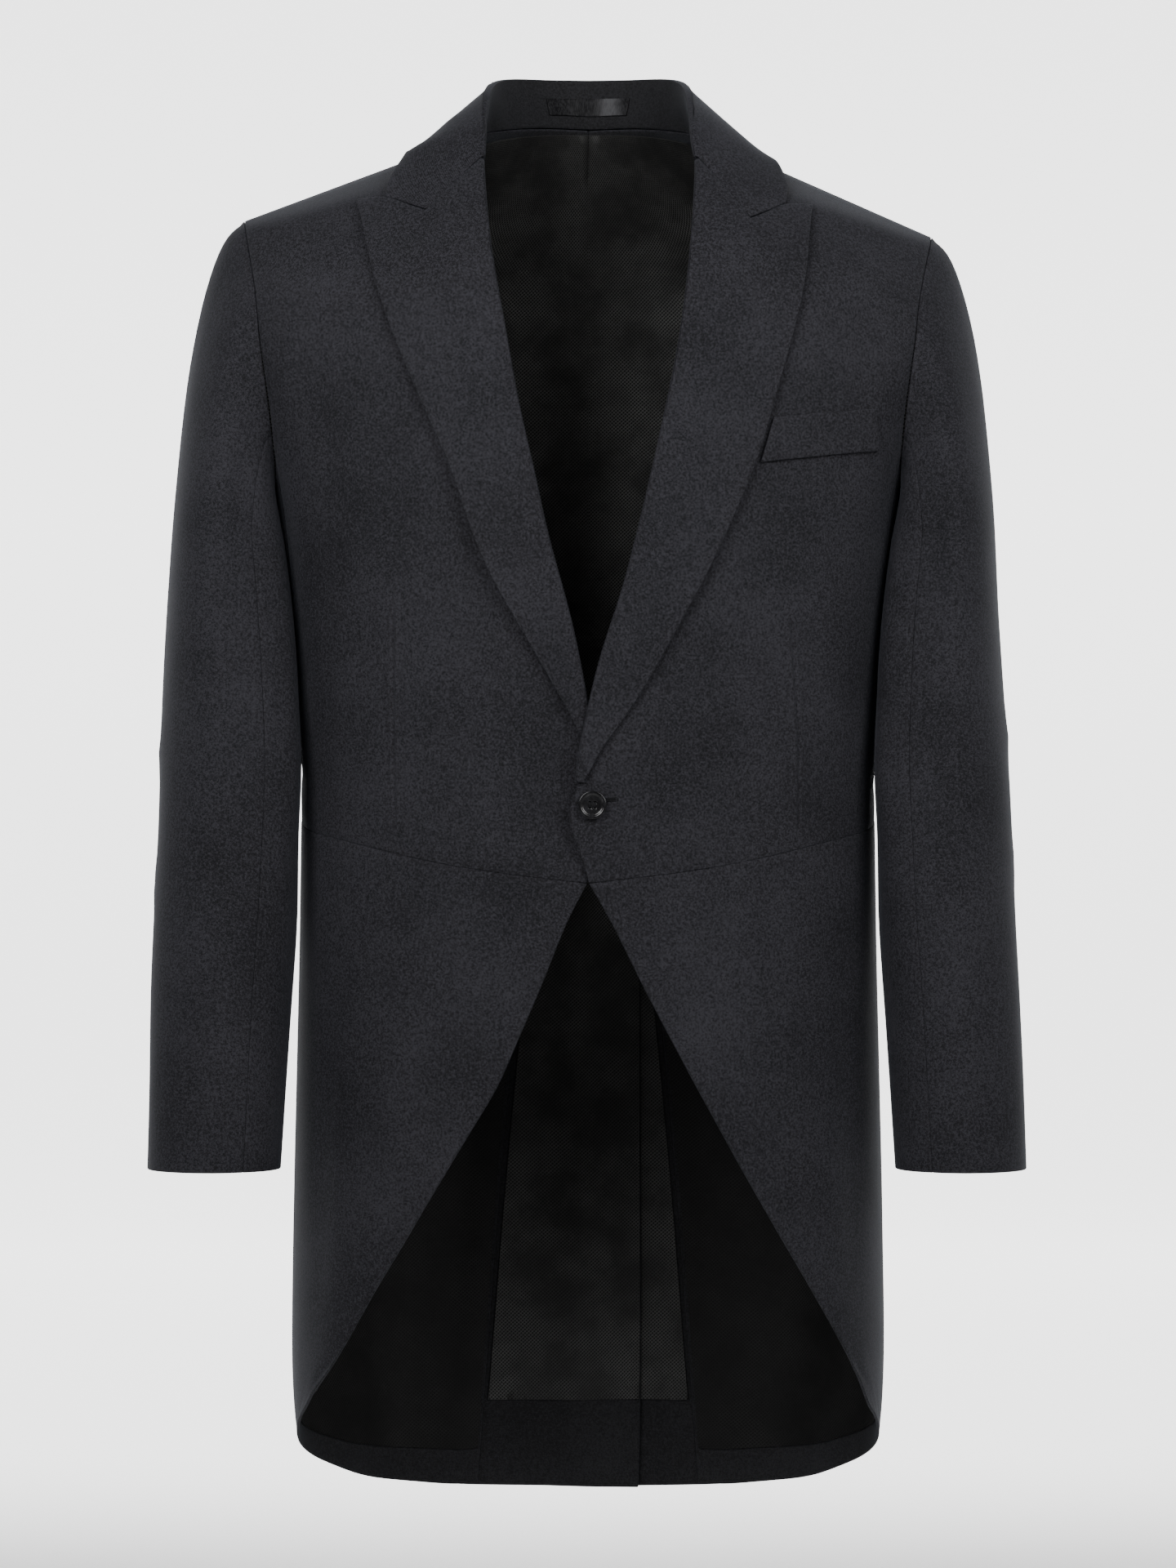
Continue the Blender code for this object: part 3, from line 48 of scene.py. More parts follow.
LOG = logging.getLogger("morning_coat")
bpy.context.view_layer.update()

WALL = 0.002  # thickness of the cloth panels
RIM_ANGLE = 50  # edges that turn more than this are the rim of a panel
SMOOTH_ANGLE = 42
SEAM_BEVEL = 0.0007
SEAM_REACH = 0.00016  # how far a panel's rim moves into the seam
LINING_WALL = 0.001
LINING_REACH = 0.00027
FINE_LEVELS = 2
FIT_ROUNDS = 2
MERGE_REACH = 2e-6
QUAD_TURN = 50  # triangles that turn less than this join into quads
QUAD_SKEW = 60
CORNER_TURN = 36  # a rim that turns more than this has a corner there
RIM_WIDTH = 1.4  # a face of the rim is narrower than this many walls
OUTER_SHARE = 0.3  # a normal that points out more than this is on the outer wall
INNER_SHARE = -0.5  # and one under this on the inner wall
SHOULDER_TILT = 1.2  # how far the way out of a form turns up on the shoulder
CREASE_TURN = 0.03  # how far round the side of a form a crease dies out
CREASE_TAPER = 0.8
CREASE_FALL = 2.2
CREASE_STEPS = 14
SEAM_STEPS = 60


class Face(Enum):
    """The side of the coat or of a sleeve that a crease lies on."""

    FRONT = (0, -1)
    BACK = (0, 1)
    WEARERS_LEFT = (1, 0)
    WEARERS_RIGHT = (-1, 0)


class Hold(Enum):
    """How a cut piece of cloth is held in the coat."""

    HUNG = "hung"
    FOLDED = "folded"
    STRETCHED = "stretched"


# Shader building

Operand = Union["Value", float, int]


class Value:
    """A number socket of a shader, which adds its own Math nodes."""

    def __init__(self, shader: "Shader", socket: bpy.types.NodeSocket) -> None:
        """Wraps a number output of one of the shader's nodes."""
        self.shader = shader
        self.socket = socket

    def _math(self, operation: str, first: Operand, second: Operand) -> "Value":
        """Adds a Math node, by Blender's name for the operation, and returns its output."""
        return self.shader.add("ShaderNodeMath", {"operation": operation}, {0: first, 1: second}).value(0)

    def __add__(self, other: Operand) -> "Value":
        """Returns the sum."""
        return self._math("ADD", self, other)

    def __sub__(self, other: Operand) -> "Value":
        """Returns the difference."""
        return self._math("SUBTRACT", self, other)

    def __mul__(self, other: Operand) -> "Value":
        """Returns the product."""
        return self._math("MULTIPLY", self, other)

    def largest(self, other: Operand) -> "Value":
        """Returns the larger of the two."""
        return self._math("MAXIMUM", self, other)

    def sine(self) -> "Value":
        """Returns the sine of the value in radians."""
        return self._math("SINE", self, 0)

    def ramp(self, low: float, high: float, start: float = 0.0, end: float = 1.0) -> "Value":
        """Maps a range softly onto another one.

        Args:
            low: the value that gives start.
            high: the value that gives end.
            start: what values under low give.
            end: what values over high give.

        Returns:
            The mapped value.
        """
        settings = {"interpolation_type": "SMOOTHSTEP", "clamp": True}
        sockets = {0: self, 1: low, 2: high, 3: start, 4: end}
        return self.shader.add("ShaderNodeMapRange", settings, sockets).value(0)


@dataclass
class Node:
    """A shader node, with its outputs at hand."""

    shader: "Shader"
    node: bpy.types.Node

    def value(self, output: int | str) -> Value:
        """Returns an output as a number to reckon with."""
        return Value(self.shader, self.node.outputs[output])

    def out(self, output: int | str = 0) -> bpy.types.NodeSocket:
        """Returns an output as it is."""
        return self.node.outputs[output]


class Shader:
    """A material's nodes: one Principled surface and what feeds it."""

    def __init__(self, name: str) -> None:
        """Starts an empty material.

        Args:
            name: the material's name.
        """
        self.material = bpy.data.materials.new(name)
        self.material.use_nodes = True
        self.tree = self.material.node_tree
        self.tree.nodes.clear()
        self.surface = self.add("ShaderNodeBsdfPrincipled").node
        end = self.add("ShaderNodeOutputMaterial").node
        self.tree.links.new(self.surface.outputs[0], end.inputs["Surface"])
        self.places = self.add("ShaderNodeTexCoord")

    def add(self, kind: str, settings: dict | None = None, sockets: dict | None = None) -> Node:
        """Adds a node.

        Args:
            kind: Blender's name for the node's type.
            settings: the node's own properties, which are set first.
            sockets: values or links for its inputs, by index or name.

        Returns:
            The new node.
        """
        node = self.tree.nodes.new(kind)
        for key, setting in (settings or {}).items():
            setattr(node, key, setting)
        for key, given in (sockets or {}).items():
            link = given.socket if isinstance(given, Value) else given
            if isinstance(link, bpy.types.NodeSocket):
                self.tree.links.new(link, node.inputs[key])
            else:
                node.inputs[key].default_value = link
        return Node(self, node)

    def set(self, **sockets: object) -> None:
        """Sets plain numbers on the surface, by socket name with _ for spaces."""
        for key, given in sockets.items():
            self.surface.inputs[key.replace("_", " ")].default_value = given

    def feed(self, socket: str, source: "Value | bpy.types.NodeSocket") -> None:
        """Links a value or colour to one of the surface's sockets, by its name."""
        link = source.socket if isinstance(source, Value) else source
        self.tree.links.new(link, self.surface.inputs[socket])

    def noise(self, scale: float, detail: float = 2.0, rough: float = 0.5, flat: bool = False) -> Value:
        """Adds noise.

        Args:
            scale: features a metre.
            detail: octaves.
            rough: share of each finer octave.
            flat: whether it lies on the piece's own cloth map.

        Returns:
            The noise, about 0 to 1.
        """
        place = self.places.out("UV" if flat else "Object")
        sockets = {"Vector": place, "Scale": scale, "Detail": detail, "Roughness": rough}
        return self.add("ShaderNodeTexNoise", {}, sockets).value(0)

    def streaks(self, scale: tuple[float, float, float], detail: float) -> Value:
        """Adds noise that is drawn out, by its features a metre along x, y and z."""
        drawn = self.add("ShaderNodeMapping", {}, {0: self.places.out("Object"), "Scale": scale}).out()
        return self.add("ShaderNodeTexNoise", {}, {"Vector": drawn, "Scale": 1.0, "Detail": detail}).value(0)

    def place(self) -> tuple[Value, Value, Value]:
        """Returns the place on the coat: x, y and z in metres."""
        parts = self.add("ShaderNodeSeparateXYZ", {}, {0: self.places.out("Object")})
        return parts.value(0), parts.value(1), parts.value(2)

    def cloth_place(self) -> tuple[Value, Value]:
        """Returns the place on the piece's own cloth map: round it, and up it, in metres."""
        parts = self.add("ShaderNodeSeparateXYZ", {}, {0: self.places.out("UV")})
        return parts.value(0), parts.value(1)

    def mix(self, factor: Operand, low: Sequence[float], high: Sequence[float]) -> bpy.types.NodeSocket:
        """Mixes two colours.

        Args:
            factor: 0 gives low, 1 gives high.
            low: a colour, or a link to one.
            high: a colour, or a link to one.

        Returns:
            The mixed colour.
        """
        ends = [end if isinstance(end, bpy.types.NodeSocket) else (*end, 1.0) for end in (low, high)]
        node = self.add("ShaderNodeMix", {"data_type": "RGBA"}, {0: factor, 6: ends[0], 7: ends[1]})
        return node.out(2)

    def bump(self, height: Value, depth: float, strength: float) -> None:
        """Turns a height of 0 to 1 into relief of so many metres, of which the strength shows."""
        sockets = {"Strength": strength, "Distance": depth, "Height": height}
        self.feed("Normal", self.add("ShaderNodeBump", {}, sockets).out())


# Finishes


@dataclass(frozen=True)
class Worsted:
    """The charcoal wool of the coat: fine twill with a melange of light and dark fibres."""

    name: str
    dark: tuple[float, float, float]
    light: tuple[float, float, float]
    twill_pitch: float = 0.0009
    twill_slant: float = 0.8
    fibre_scale: float = 1700
    slub_scale: float = 640
    cloud_scale: float = 14
    contrast: tuple[float, float] = (0.70, 0.99)
    relief: float = 0.00022
    sheen: float = 0.07
    sheen_tint: tuple[float, float, float, float] = (0.62, 0.68, 0.8, 1)

    def build(self) -> bpy.types.Material:
        """Returns the material."""
        shader = Shader(self.name)
        across, along = shader.cloth_place()
        turn = 2 * math.pi / self.twill_pitch
        twill = ((across + along * self.twill_slant) * turn).sine() * 0.5 + 0.5
        fibre = shader.noise(self.fibre_scale, 2, 0.7)
        slub = shader.noise(self.slub_scale, 3, 0.75)
        cloud = shader.noise(self.cloud_scale, 2, 0.5)
        melange = (fibre * 0.5 + slub * 0.9 + cloud * 0.2 + twill * 0.08).ramp(*self.contrast)
        shader.feed("Base Color", shader.mix(melange, self.dark, self.light))
        shader.feed("Roughness", slub.ramp(0.3, 0.7, 0.78, 0.92))
        shader.bump(fibre * 0.5 + twill * 0.35 + slub * 0.5, self.relief, 0.45)
        shader.set(Sheen_Weight=self.sheen, Sheen_Roughness=0.45, Sheen_Tint=self.sheen_tint)
        shader.set(Specular_IOR_Level=0.14)
        return shader.material


@dataclass(frozen=True)
class CrossedLining:
    """Black lining with fine grey threads that cross in both directions."""

    name: str
    ground: tuple[float, float, float]
    thread: tuple[float, float, float]
    pitch: float = 0.0026
    sag_scale: float = 60
    sag_depth: float = 0.0012
    wear_scale: float = 24
    grain_scale: float = 1300
    relief: float = 0.00016
    sheen: float = 0.03

    def build(self) -> bpy.types.Material:
        """Returns the material."""
        shader = Shader(self.name)
        across, along = shader.cloth_place()
        turn = 2 * math.pi / self.pitch
        sag = shader.noise(self.sag_scale, 1, 0.5, flat=True) * self.sag_depth
        rising = ((across + along + sag) * turn).sine()
        falling = ((across - along + sag) * turn).sine()
        wear = shader.noise(self.wear_scale, 3, 0.6)
        grain = shader.noise(self.grain_scale, 2, 0.6)
        thread = rising.ramp(0.3, 0.95).largest(falling.ramp(0.3, 0.95) * 0.85)
        # Painted shade: the threads show less near the top edge under the collar and towards the bottom of
        # the lining, where shade falls inside the coat.
        painted_lining_shade = along.ramp(-0.20, -0.03, 1.0, 0.45) * along.ramp(-0.70, -0.35, 0.42, 1.0)
        shown = thread * wear.ramp(0.32, 0.68, 0.35, 1.0) * grain.ramp(0.3, 0.6, 0.5, 1.0) * painted_lining_shade
        shader.feed("Base Color", shader.mix(shown, self.ground, self.thread))
        shader.feed("Roughness", shown.ramp(0, 1, 0.6, 0.42))
        shader.bump(thread * 0.7 + grain * 0.3, self.relief, 0.4)
        shader.set(Sheen_Weight=self.sheen, Sheen_Roughness=0.35, Specular_IOR_Level=0.12)
        return shader.material


@dataclass(frozen=True)
class Satin:
    """Black satin with long fine floats that run up the tape, with a painted highlight toward one end."""

    name: str
    colour: tuple[float, float, float]
    light: tuple[float, float, float]
    float_scale: tuple[float, float, float] = (1600, 1600, 220)
    soft_scale: float = 90
    painted_highlight_start: tuple[float, float] = (0.004, 0.013)
    painted_highlight_end: tuple[float, float] = (0.019, 0.028)
    relief: float = 0.00005

    def build(self) -> bpy.types.Material:
        """Returns the material."""
        shader = Shader(self.name)
        floats = shader.streaks(self.float_scale, 2.0)
        soft = shader.noise(self.soft_scale, 2)
        across = shader.place()[0]
        # Painted highlight: the colour is lighter in a soft patch toward one end of the tape, standing in for
        # the satin's sheen.
        painted_highlight = across.ramp(*self.painted_highlight_start) * across.ramp(*self.painted_highlight_end, 1.0, 0.0)
        painted_highlight = painted_highlight * soft.ramp(0.3, 0.6, 0.5, 1.0)
        shade = floats.ramp(0.35, 0.7) * 0.25 + painted_highlight * 0.75
        shader.feed("Base Color", shader.mix(shade, self.colour, self.light))
        shader.feed("Roughness", soft.ramp(0.35, 0.65, 0.42, 0.54))
        shader.bump(floats, self.relief, 0.4)
        shader.set(Sheen_Weight=0.0, Specular_IOR_Level=0.05)
        return shader.material


@dataclass(frozen=True)
class GlossButton:
    """Black moulded button stock: polished, with faint flow streaks and fine rubbing."""

    name: str
    colour: tuple[float, float, float]
    flow_scale: tuple[float, float, float] = (420, 60, 140)
    rub_scale: float = 900
    streak_light: float = 3
    relief: float = 0.00005

    def build(self) -> bpy.types.Material:
        """Returns the material."""
        shader = Shader(self.name)
        streak = shader.streaks(self.flow_scale, 3.0)
        rub = shader.noise(self.rub_scale, 2, 0.6)
        light = tuple(value * self.streak_light for value in self.colour)
        shader.feed("Base Color", shader.mix(streak.ramp(0.4, 0.72), self.colour, light))
        shader.feed("Roughness", streak.ramp(0.3, 0.7, 0.13, 0.2) + rub.ramp(0.45, 0.75, 0.0, 0.06))
        shader.bump(streak * 0.6 + rub * 0.4, self.relief, 0.35)
        shader.set(Coat_Weight=0.15, Coat_Roughness=0.1, Specular_IOR_Level=0.4)
        return shader.material


@dataclass(frozen=True)
class SewingThread:
    """Dull twisted sewing thread."""

    name: str
    colour: tuple[float, float, float]
    twist_scale: float = 3200
    twist_light: float = 1.9
    relief: float = 0.00006

    def build(self) -> bpy.types.Material:
        """Returns the material."""
        shader = Shader(self.name)
        twist = shader.noise(self.twist_scale, 2, 0.6)
        light = tuple(value * self.twist_light for value in self.colour)
        shader.feed("Base Color", shader.mix(twist.ramp(0.35, 0.65), self.colour, light))
        shader.feed("Roughness", twist.ramp(0.3, 0.7, 0.55, 0.75))
        shader.bump(twist, self.relief, 0.5)
        shader.set(Sheen_Weight=0.02, Specular_IOR_Level=0.12)
        return shader.material


@dataclass(frozen=True)
class StudioPaper:
    """Pale matt paper of the studio's floor, which glows as painted light toward the back, where it sweeps
    up.
    """

    name: str
    colour: tuple[float, float, float]
    glow: float = 2.3
    glow_start: float = 0.3
    glow_full: float = 1.5
    tooth_scale: float = 180
    tooth_shade: float = 0.985

    def build(self) -> bpy.types.Material:
        """Returns the material."""
        shader = Shader(self.name)
        tooth = shader.noise(self.tooth_scale, 2)
        darker = tuple(value * self.tooth_shade for value in self.colour)
        shader.feed("Base Color", shader.mix(tooth.ramp(0.3, 0.7), darker, self.colour))
        # Painted light: the paper glows, with none in front of the coat and full glow behind it.
        glow = shader.place()[1].ramp(self.glow_start, self.glow_full)
        shader.feed("Emission Color", shader.mix(glow, (0.0, 0.0, 0.0), (1.0, 1.0, 1.0)))
        shader.set(Roughness=0.95, Emission_Strength=self.glow, Specular_IOR_Level=0.1)
        return shader.material


@dataclass
class Wardrobe:
    """The finishes, each built once."""

    cloth: bpy.types.Material = field(init=False)
    shaded_cloth: bpy.types.Material = field(init=False)
    lining: bpy.types.Material = field(init=False)
    shaded_skirt_lining: bpy.types.Material = field(init=False)
    satin: bpy.types.Material = field(init=False)
    button: bpy.types.Material = field(init=False)
    thread: bpy.types.Material = field(init=False)
    paper: bpy.types.Material = field(init=False)

    def __post_init__(self) -> None:
        """Builds the finishes."""
        wool_dark, wool_light = (0.0046, 0.0045, 0.0055), (0.0278, 0.0273, 0.0328)
        # Painted shade: a darker copy of the coat's own cloth, for the inside of the back and the tails, the
        # hem facing and the collar's inner side, where shade falls.
        shaded_dark, shaded_light = (0.0038, 0.0038, 0.0042), (0.0150, 0.0150, 0.0168)
        twill_ground, twill_thread = (0.0056, 0.0056, 0.0057), (0.125, 0.125, 0.121)
        # Painted shade: a darker copy of the lining for the skirts' inside, where shade falls.
        skirt_ground, skirt_thread = (0.0018, 0.0018, 0.0019), (0.025, 0.025, 0.0243)
        self.cloth = Worsted("charcoal_worsted", wool_dark, wool_light).build()
        self.shaded_cloth = Worsted("shaded_coat_cloth", shaded_dark, shaded_light).build()
        self.lining = CrossedLining("crossed_lining", twill_ground, twill_thread).build()
        self.shaded_skirt_lining = CrossedLining("shaded_skirt_lining", skirt_ground, skirt_thread).build()
        self.satin = Satin("black_satin", (0.0040, 0.0040, 0.0046), (0.060, 0.060, 0.064)).build()
        self.button = GlossButton("black_button", (0.0035, 0.0035, 0.0040)).build()
        self.thread = SewingThread("charcoal_thread", (0.0042, 0.0043, 0.0050)).build()
        self.paper = StudioPaper("studio_paper", (0.93, 0.93, 0.93)).build()


# Forms that the cloth goes round


@dataclass(frozen=True)
class Form:
    """A smooth upright form, with an oval section round a line from top to bottom.

    The line is rows of height, x and y, and the oval's half width and half depth are sizes.
    """

    line: tuple[tuple[float, float, float], ...]
    half_width: float
    half_depth: float
    shoulder_top: float | None = None
    shoulder_reach: float = 0.06

    def from_line(self, points: np.ndarray) -> np.ndarray:
        """Gives each point's way across from the line.

        Args:
            points: rows of x, y, z.

        Returns:
            Rows of x and y.
        """
        heights, xs, ys = np.array(sorted(self.line)).T
        centre = np.column_stack([np.interp(points[:, 2], heights, row) for row in (xs, ys)])
        return points[:, :2] - centre

    def outward(self, points: np.ndarray) -> np.ndarray:
        """Gives the way out of the form.

        Args:
            points: rows of x, y, z.

        Returns:
            Rows of unit vectors.
        """
        across = self.from_line(points)
        rise = np.zeros(len(points))
        if self.shoulder_top is not None:
            rise = np.clip((points[:, 2] - self.shoulder_top) / self.shoulder_reach, 0, 1) * SHOULDER_TILT
        way = np.column_stack([across[:, 0] / self.half_width, across[:, 1] / self.half_depth, rise])
        way[:, 0] /= self.half_width / self.half_depth
        return way / np.maximum(np.linalg.norm(way, axis=1, keepdims=True), 1e-9)

    def round_place(self, points: np.ndarray) -> np.ndarray:
        """Gives the way round the form, without a jump inside one piece.

        Args:
            points: the points of one piece, rows of x, y, z.

        Returns:
            Metres round the form from the middle of the piece.
        """
        across = self.from_line(points)
        turns = np.arctan2(across[:, 0] / self.half_width, -across[:, 1] / self.half_depth)
        middle = math.atan2(np.sin(turns).mean(), np.cos(turns).mean())
        turns = middle + (turns - middle + math.pi) % (2 * math.pi) - math.pi
        steps = np.linspace(-3 * math.pi, 3 * math.pi, 1201)
        pace = np.hypot(self.half_width * np.cos(steps), self.half_depth * np.sin(steps))
        reach = np.concatenate([[0], np.cumsum((pace[1:] + pace[:-1]) / 2 * np.diff(steps))])
        return np.interp(turns, steps, reach) - np.interp(middle, steps, reach)


TORSO = Form(((-1.0, 0, 0.01), (-0.5, 0, -0.01), (-0.2, 0, 0.005), (0.05, 0, 0.02)), 0.205, 0.115, -0.09)
SLEEVE_LINE = (
    (-0.06, 0.232, 0.020),
    (-0.18, 0.238, 0.012),
    (-0.29, 0.252, 0.001),
    (-0.40, 0.249, -0.018),
    (-0.50, 0.248, -0.037),
    (-0.60, 0.251, -0.052),
    (-0.72, 0.256, -0.066),
)


def sleeve_form(side: int) -> Form:
    """Returns the form of one sleeve, with side 1 for the wearer's left and -1 for the right."""
    return Form(tuple((height, side * x, y) for height, x, y in SLEEVE_LINE), 0.048, 0.066, -0.10, 0.05)


# Creases


@dataclass(frozen=True)
class Crease:
    """A soft trough or ridge in the cloth.

    The route is rows of way across and height, as seen square on to its face. A ridge has a depth over zero
    and a trough one under zero. The width is its half width, at which it has nearly died out.
    """

    face: Face
    route: tuple[tuple[float, float], ...]
    width: float
    depth: float

    def lift(self, points: np.ndarray, across: np.ndarray) -> np.ndarray:
        """Gives how far the crease moves each point outwards.

        Args:
            points: rows of x, y, z.
            across: each point's way across from the form's line, rows of x and y.

        Returns:
            Metres outwards, one for each point.
        """
        way = np.array(self.face.value)
        facing = np.clip((across @ way) / CREASE_TURN, 0, 1)
        facing = facing * facing * (3 - 2 * facing)
        seen = points[:, [1, 2]] if way[0] else points[:, [0, 2]]
        path = smooth_path(self.route, CREASE_STEPS)
        gaps = np.linalg.norm(seen[:, None, :] - path[None, :, :], axis=2)
        nearest = gaps.argmin(axis=1)
        taper = np.sin(math.pi * (nearest + 0.5) / len(path)) ** CREASE_TAPER
        return self.depth * taper * facing * np.exp(-CREASE_FALL * (gaps.min(axis=1) / self.width) ** 2)


def smooth_row(values: np.ndarray, spots: np.ndarray) -> np.ndarray:
    """Runs a smooth curve through evenly spaced values.

    Args:
        values: the values, at 0, 1, 2 and on.
        spots: where the curve is wanted.

    Returns:
        The curve's values there.
    """
    padded = np.concatenate([[2 * values[0] - values[1]], values, [2 * values[-1] - values[-2]]])
    index = np.clip(np.floor(spots).astype(int), 0, len(values) - 2)
    share = spots - index
    a, b, c, d = (padded[index + shift] for shift in range(4))
    bend = 2 * a - 5 * b + 4 * c - d
    twist = 3 * b - a - 3 * c + d
    return 0.5 * (2 * b + (c - a) * share + bend * share**2 + twist * share**3)


def smooth_path(route: Sequence[tuple[float, float]], steps: int) -> np.ndarray:
    """Runs a smooth path through a route.

    Args:
        route: the route, rows of two.
        steps: how many steps each of its rows gives.

    Returns:
        The path, rows of two.
    """
    rows = np.array(route, float)
    spots = np.linspace(0, len(rows) - 1, steps * len(rows))
    return np.column_stack([smooth_row(rows[:, i], spots) for i in (0, 1)])


@dataclass(frozen=True)
class Drape:
    """All the creases of one form, which move every layer that lies there alike."""

    form: Form
    creases: tuple[Crease, ...]

    def moved(self, points: np.ndarray) -> np.ndarray:
        """Lays points into the creases.

        Args:
            points: rows of x, y, z.

        Returns:
            The moved points.
        """
        across = self.form.from_line(points)
        lift = sum(crease.lift(points, across) for crease in self.creases)
        return points + self.form.outward(points) * np.reshape(lift, (-1, 1))


def creases(face: Face, *rows: tuple[float, ...]) -> tuple[Crease, ...]:
    """Returns creases from rows in millimetres: across and height at three places, half width and depth."""
    metres = [[value / 1000 for value in row] for row in rows]
    return tuple(Crease(face, tuple(zip(row[:6:2], row[1:6:2])), row[6], row[7]) for row in metres)


BODY_CREASES = (
    *creases(
        Face.FRONT,
        # Pull lines that run from the fastened button
        (20, -474, 60, -484, 105, -489, 11, -1.1),
        (16, -462, 70, -446, 118, -440, 13, -1.2),
        (-16, -478, -58, -487, -98, -485, 12, -1.1),
        (-22, -455, -72, -436, -120, -420, 14, -1.3),
        # The step where the left front laps over the right one, and the hollow under the left lapel's end
        (-28, -425, -26, -470, -18, -520, 10, -1.3),
        (12, -448, 22, -420, 40, -385, 9, -1),
        # Drag below the arms and over the waist
        (196, -150, 178, -215, 168, -290, 16, -1.8),
        (-198, -140, -181, -210, -173, -275, 17, -2),
        (160, -300, 166, -370, 160, -440, 18, 1.2),
        (-168, -310, -172, -365, -162, -430, 20, 1.2),
    ),
    *creases(
        Face.WEARERS_LEFT,
        (-30, -470, 10, -452, 55, -456, 12, -1.4),
        (-10, -420, 30, -410, 70, -418, 13, -1),
    ),
    *creases(
        Face.WEARERS_RIGHT,
        (-36, -462, 4, -446, 50, -452, 12, -1.3),
        (0, -405, 36, -398, 74, -408, 12, -1.1),
    ),
    *creases(
        Face.FRONT,
        # Skirt: soft flutes that die out upwards
        (128, -560, 142, -700, 150, -860, 20, 2),
        (172, -540, 180, -680, 186, -900, 15, -2.2),
        (-120, -570, -140, -720, -152, -850, 21, 1.8),
        (-170, -545, -181, -700, -189, -890, 14, -2.4),
        (-60, -535, -92, -590, -124, -680, 16, -1),
        (70, -530, 100, -600, 128, -690, 16, -0.9),
    ),
    *creases(
        Face.BACK,
        # Back: a hollow over the waist and drapes by the blades
        (30, -452, 85, -440, 140, -446, 13, -1.8),
        (-24, -440, -80, -430, -132, -438, 14, -2),
        (10, -410, 52, -402, 100, -408, 12, -1.1),
        (-46, -398, -88, -392, -120, -400, 11, -1),
        (165, -120, 156, -190, 150, -280, 17, 2.2),
        (-168, -116, -159, -200, -151, -292, 18, 2.4),
        (45, -12, 82, -34, 120, -46, 14, -1.2),
        (-50, -14, -88, -32, -118, -50, 13, -1.1),
        (62, -520, 80, -700, 94, -900, 19, 2.4),
        (118, -560, 132, -720, 142, -880, 16, -2),
        (-70, -515, -86, -690, -101, -910, 18, 2.2),
        (-122, -550, -138, -700, -146, -890, 15, -2.2),
    ),
)
LEFT_SLEEVE_CREASES = (
    *creases(
        Face.FRONT,
        (222, -190, 234, -245, 236, -310, 14, -1.6),
        (226, -420, 246, -440, 270, -448, 14, -1.7),
        (228, -458, 250, -476, 276, -480, 13, -1.3),
        (234, -560, 250, -585, 276, -600, 16, -1.2),
        (268, -120, 276, -230, 280, -330, 18, 1.2),
    ),
    *creases(
        Face.WEARERS_LEFT,
        (-50, -410, -10, -430, 25, -424, 16, 1.4),
        (-52, -520, -22, -500, 3, -505, 15, 1.2),
    ),
    *creases(
        Face.BACK,
        (225, -440, 250, -452, 275, -446, 13, -1.8),
        (232, -400, 252, -408, 270, -400, 11, -1.4),
        (230, -220, 246, -280, 250, -350, 16, 1.6),
    ),
)
RIGHT_SLEEVE_CREASES = (
    *creases(
        Face.FRONT,
        (-224, -180, -238, -238, -238, -295, 15, -1.7),
        (-226, -432, -250, -450, -272, -452, 14, -1.6),
        (-230, -474, -252, -488, -280, -498, 12, -1.2),
        (-238, -590, -256, -608, -278, -628, 16, -1.1),
        (-272, -130, -278, -250, -284, -350, 18, 1.2),
    ),
    *creases(
        Face.WEARERS_RIGHT,
        (-56, -424, -14, -440, 18, -430, 15, 1.4),
        (-58, -540, -28, -516, -4, -520, 16, 1.3),
    ),
    *creases(
        Face.BACK,
        (-224, -452, -252, -462, -274, -454, 13, -1.9),
        (-230, -412, -250, -418, -268, -412, 11, -1.3),
        (-232, -230, -248, -300, -250, -360, 16, 1.5),
    ),
)
NECK = Form(((-1.0, 0, 0.02), (0.1, 0, 0.02)), 0.09, 0.075)
CUFF_TURN_UP = -0.675
BODY_DRAPE = Drape(TORSO, BODY_CREASES)
# The right front also dips where it slips under the left one
UNDERLAP = creases(Face.FRONT, (-24, -392, -16, -470, -8, -516, 22, -6.2))
RIGHT_FRONT_DRAPE = Drape(TORSO, BODY_CREASES + UNDERLAP)
SLEEVE_DRAPES = {
    1: Drape(sleeve_form(1), LEFT_SLEEVE_CREASES),
    -1: Drape(sleeve_form(-1), RIGHT_SLEEVE_CREASES),
}


# Cloth panels


def choose(*objects: bpy.types.Object) -> None:
    """Selects objects alone, the first one active.

    Args:
        objects: what to select.
    """
    bpy.ops.object.select_all(action="DESELECT")
    for piece in objects:
        piece.select_set(True)
    bpy.context.view_layer.objects.active = objects[0] if objects else None


def rows_of(items: bpy.types.bpy_prop_collection, key: str) -> np.ndarray:
    """Reads a property of three numbers, such as a place, from all of a mesh's points or faces.

    Args:
        items: the points or faces.
        key: the property's name.

    Returns:
        A row of three for each.
    """
    found = np.empty(len(items) * 3)
    items.foreach_get(key, found)
    return found.reshape(-1, 3)


def places(mesh: bpy.types.Mesh) -> np.ndarray:
    """Returns a mesh's points as rows of x, y, z."""
    return rows_of(mesh.vertices, "co")


def put_places(mesh: bpy.types.Mesh, points: np.ndarray) -> None:
    """Moves a mesh's points to new rows of x, y, z."""
    mesh.vertices.foreach_set("co", np.ascontiguousarray(points, dtype=float).ravel())
    mesh.update()


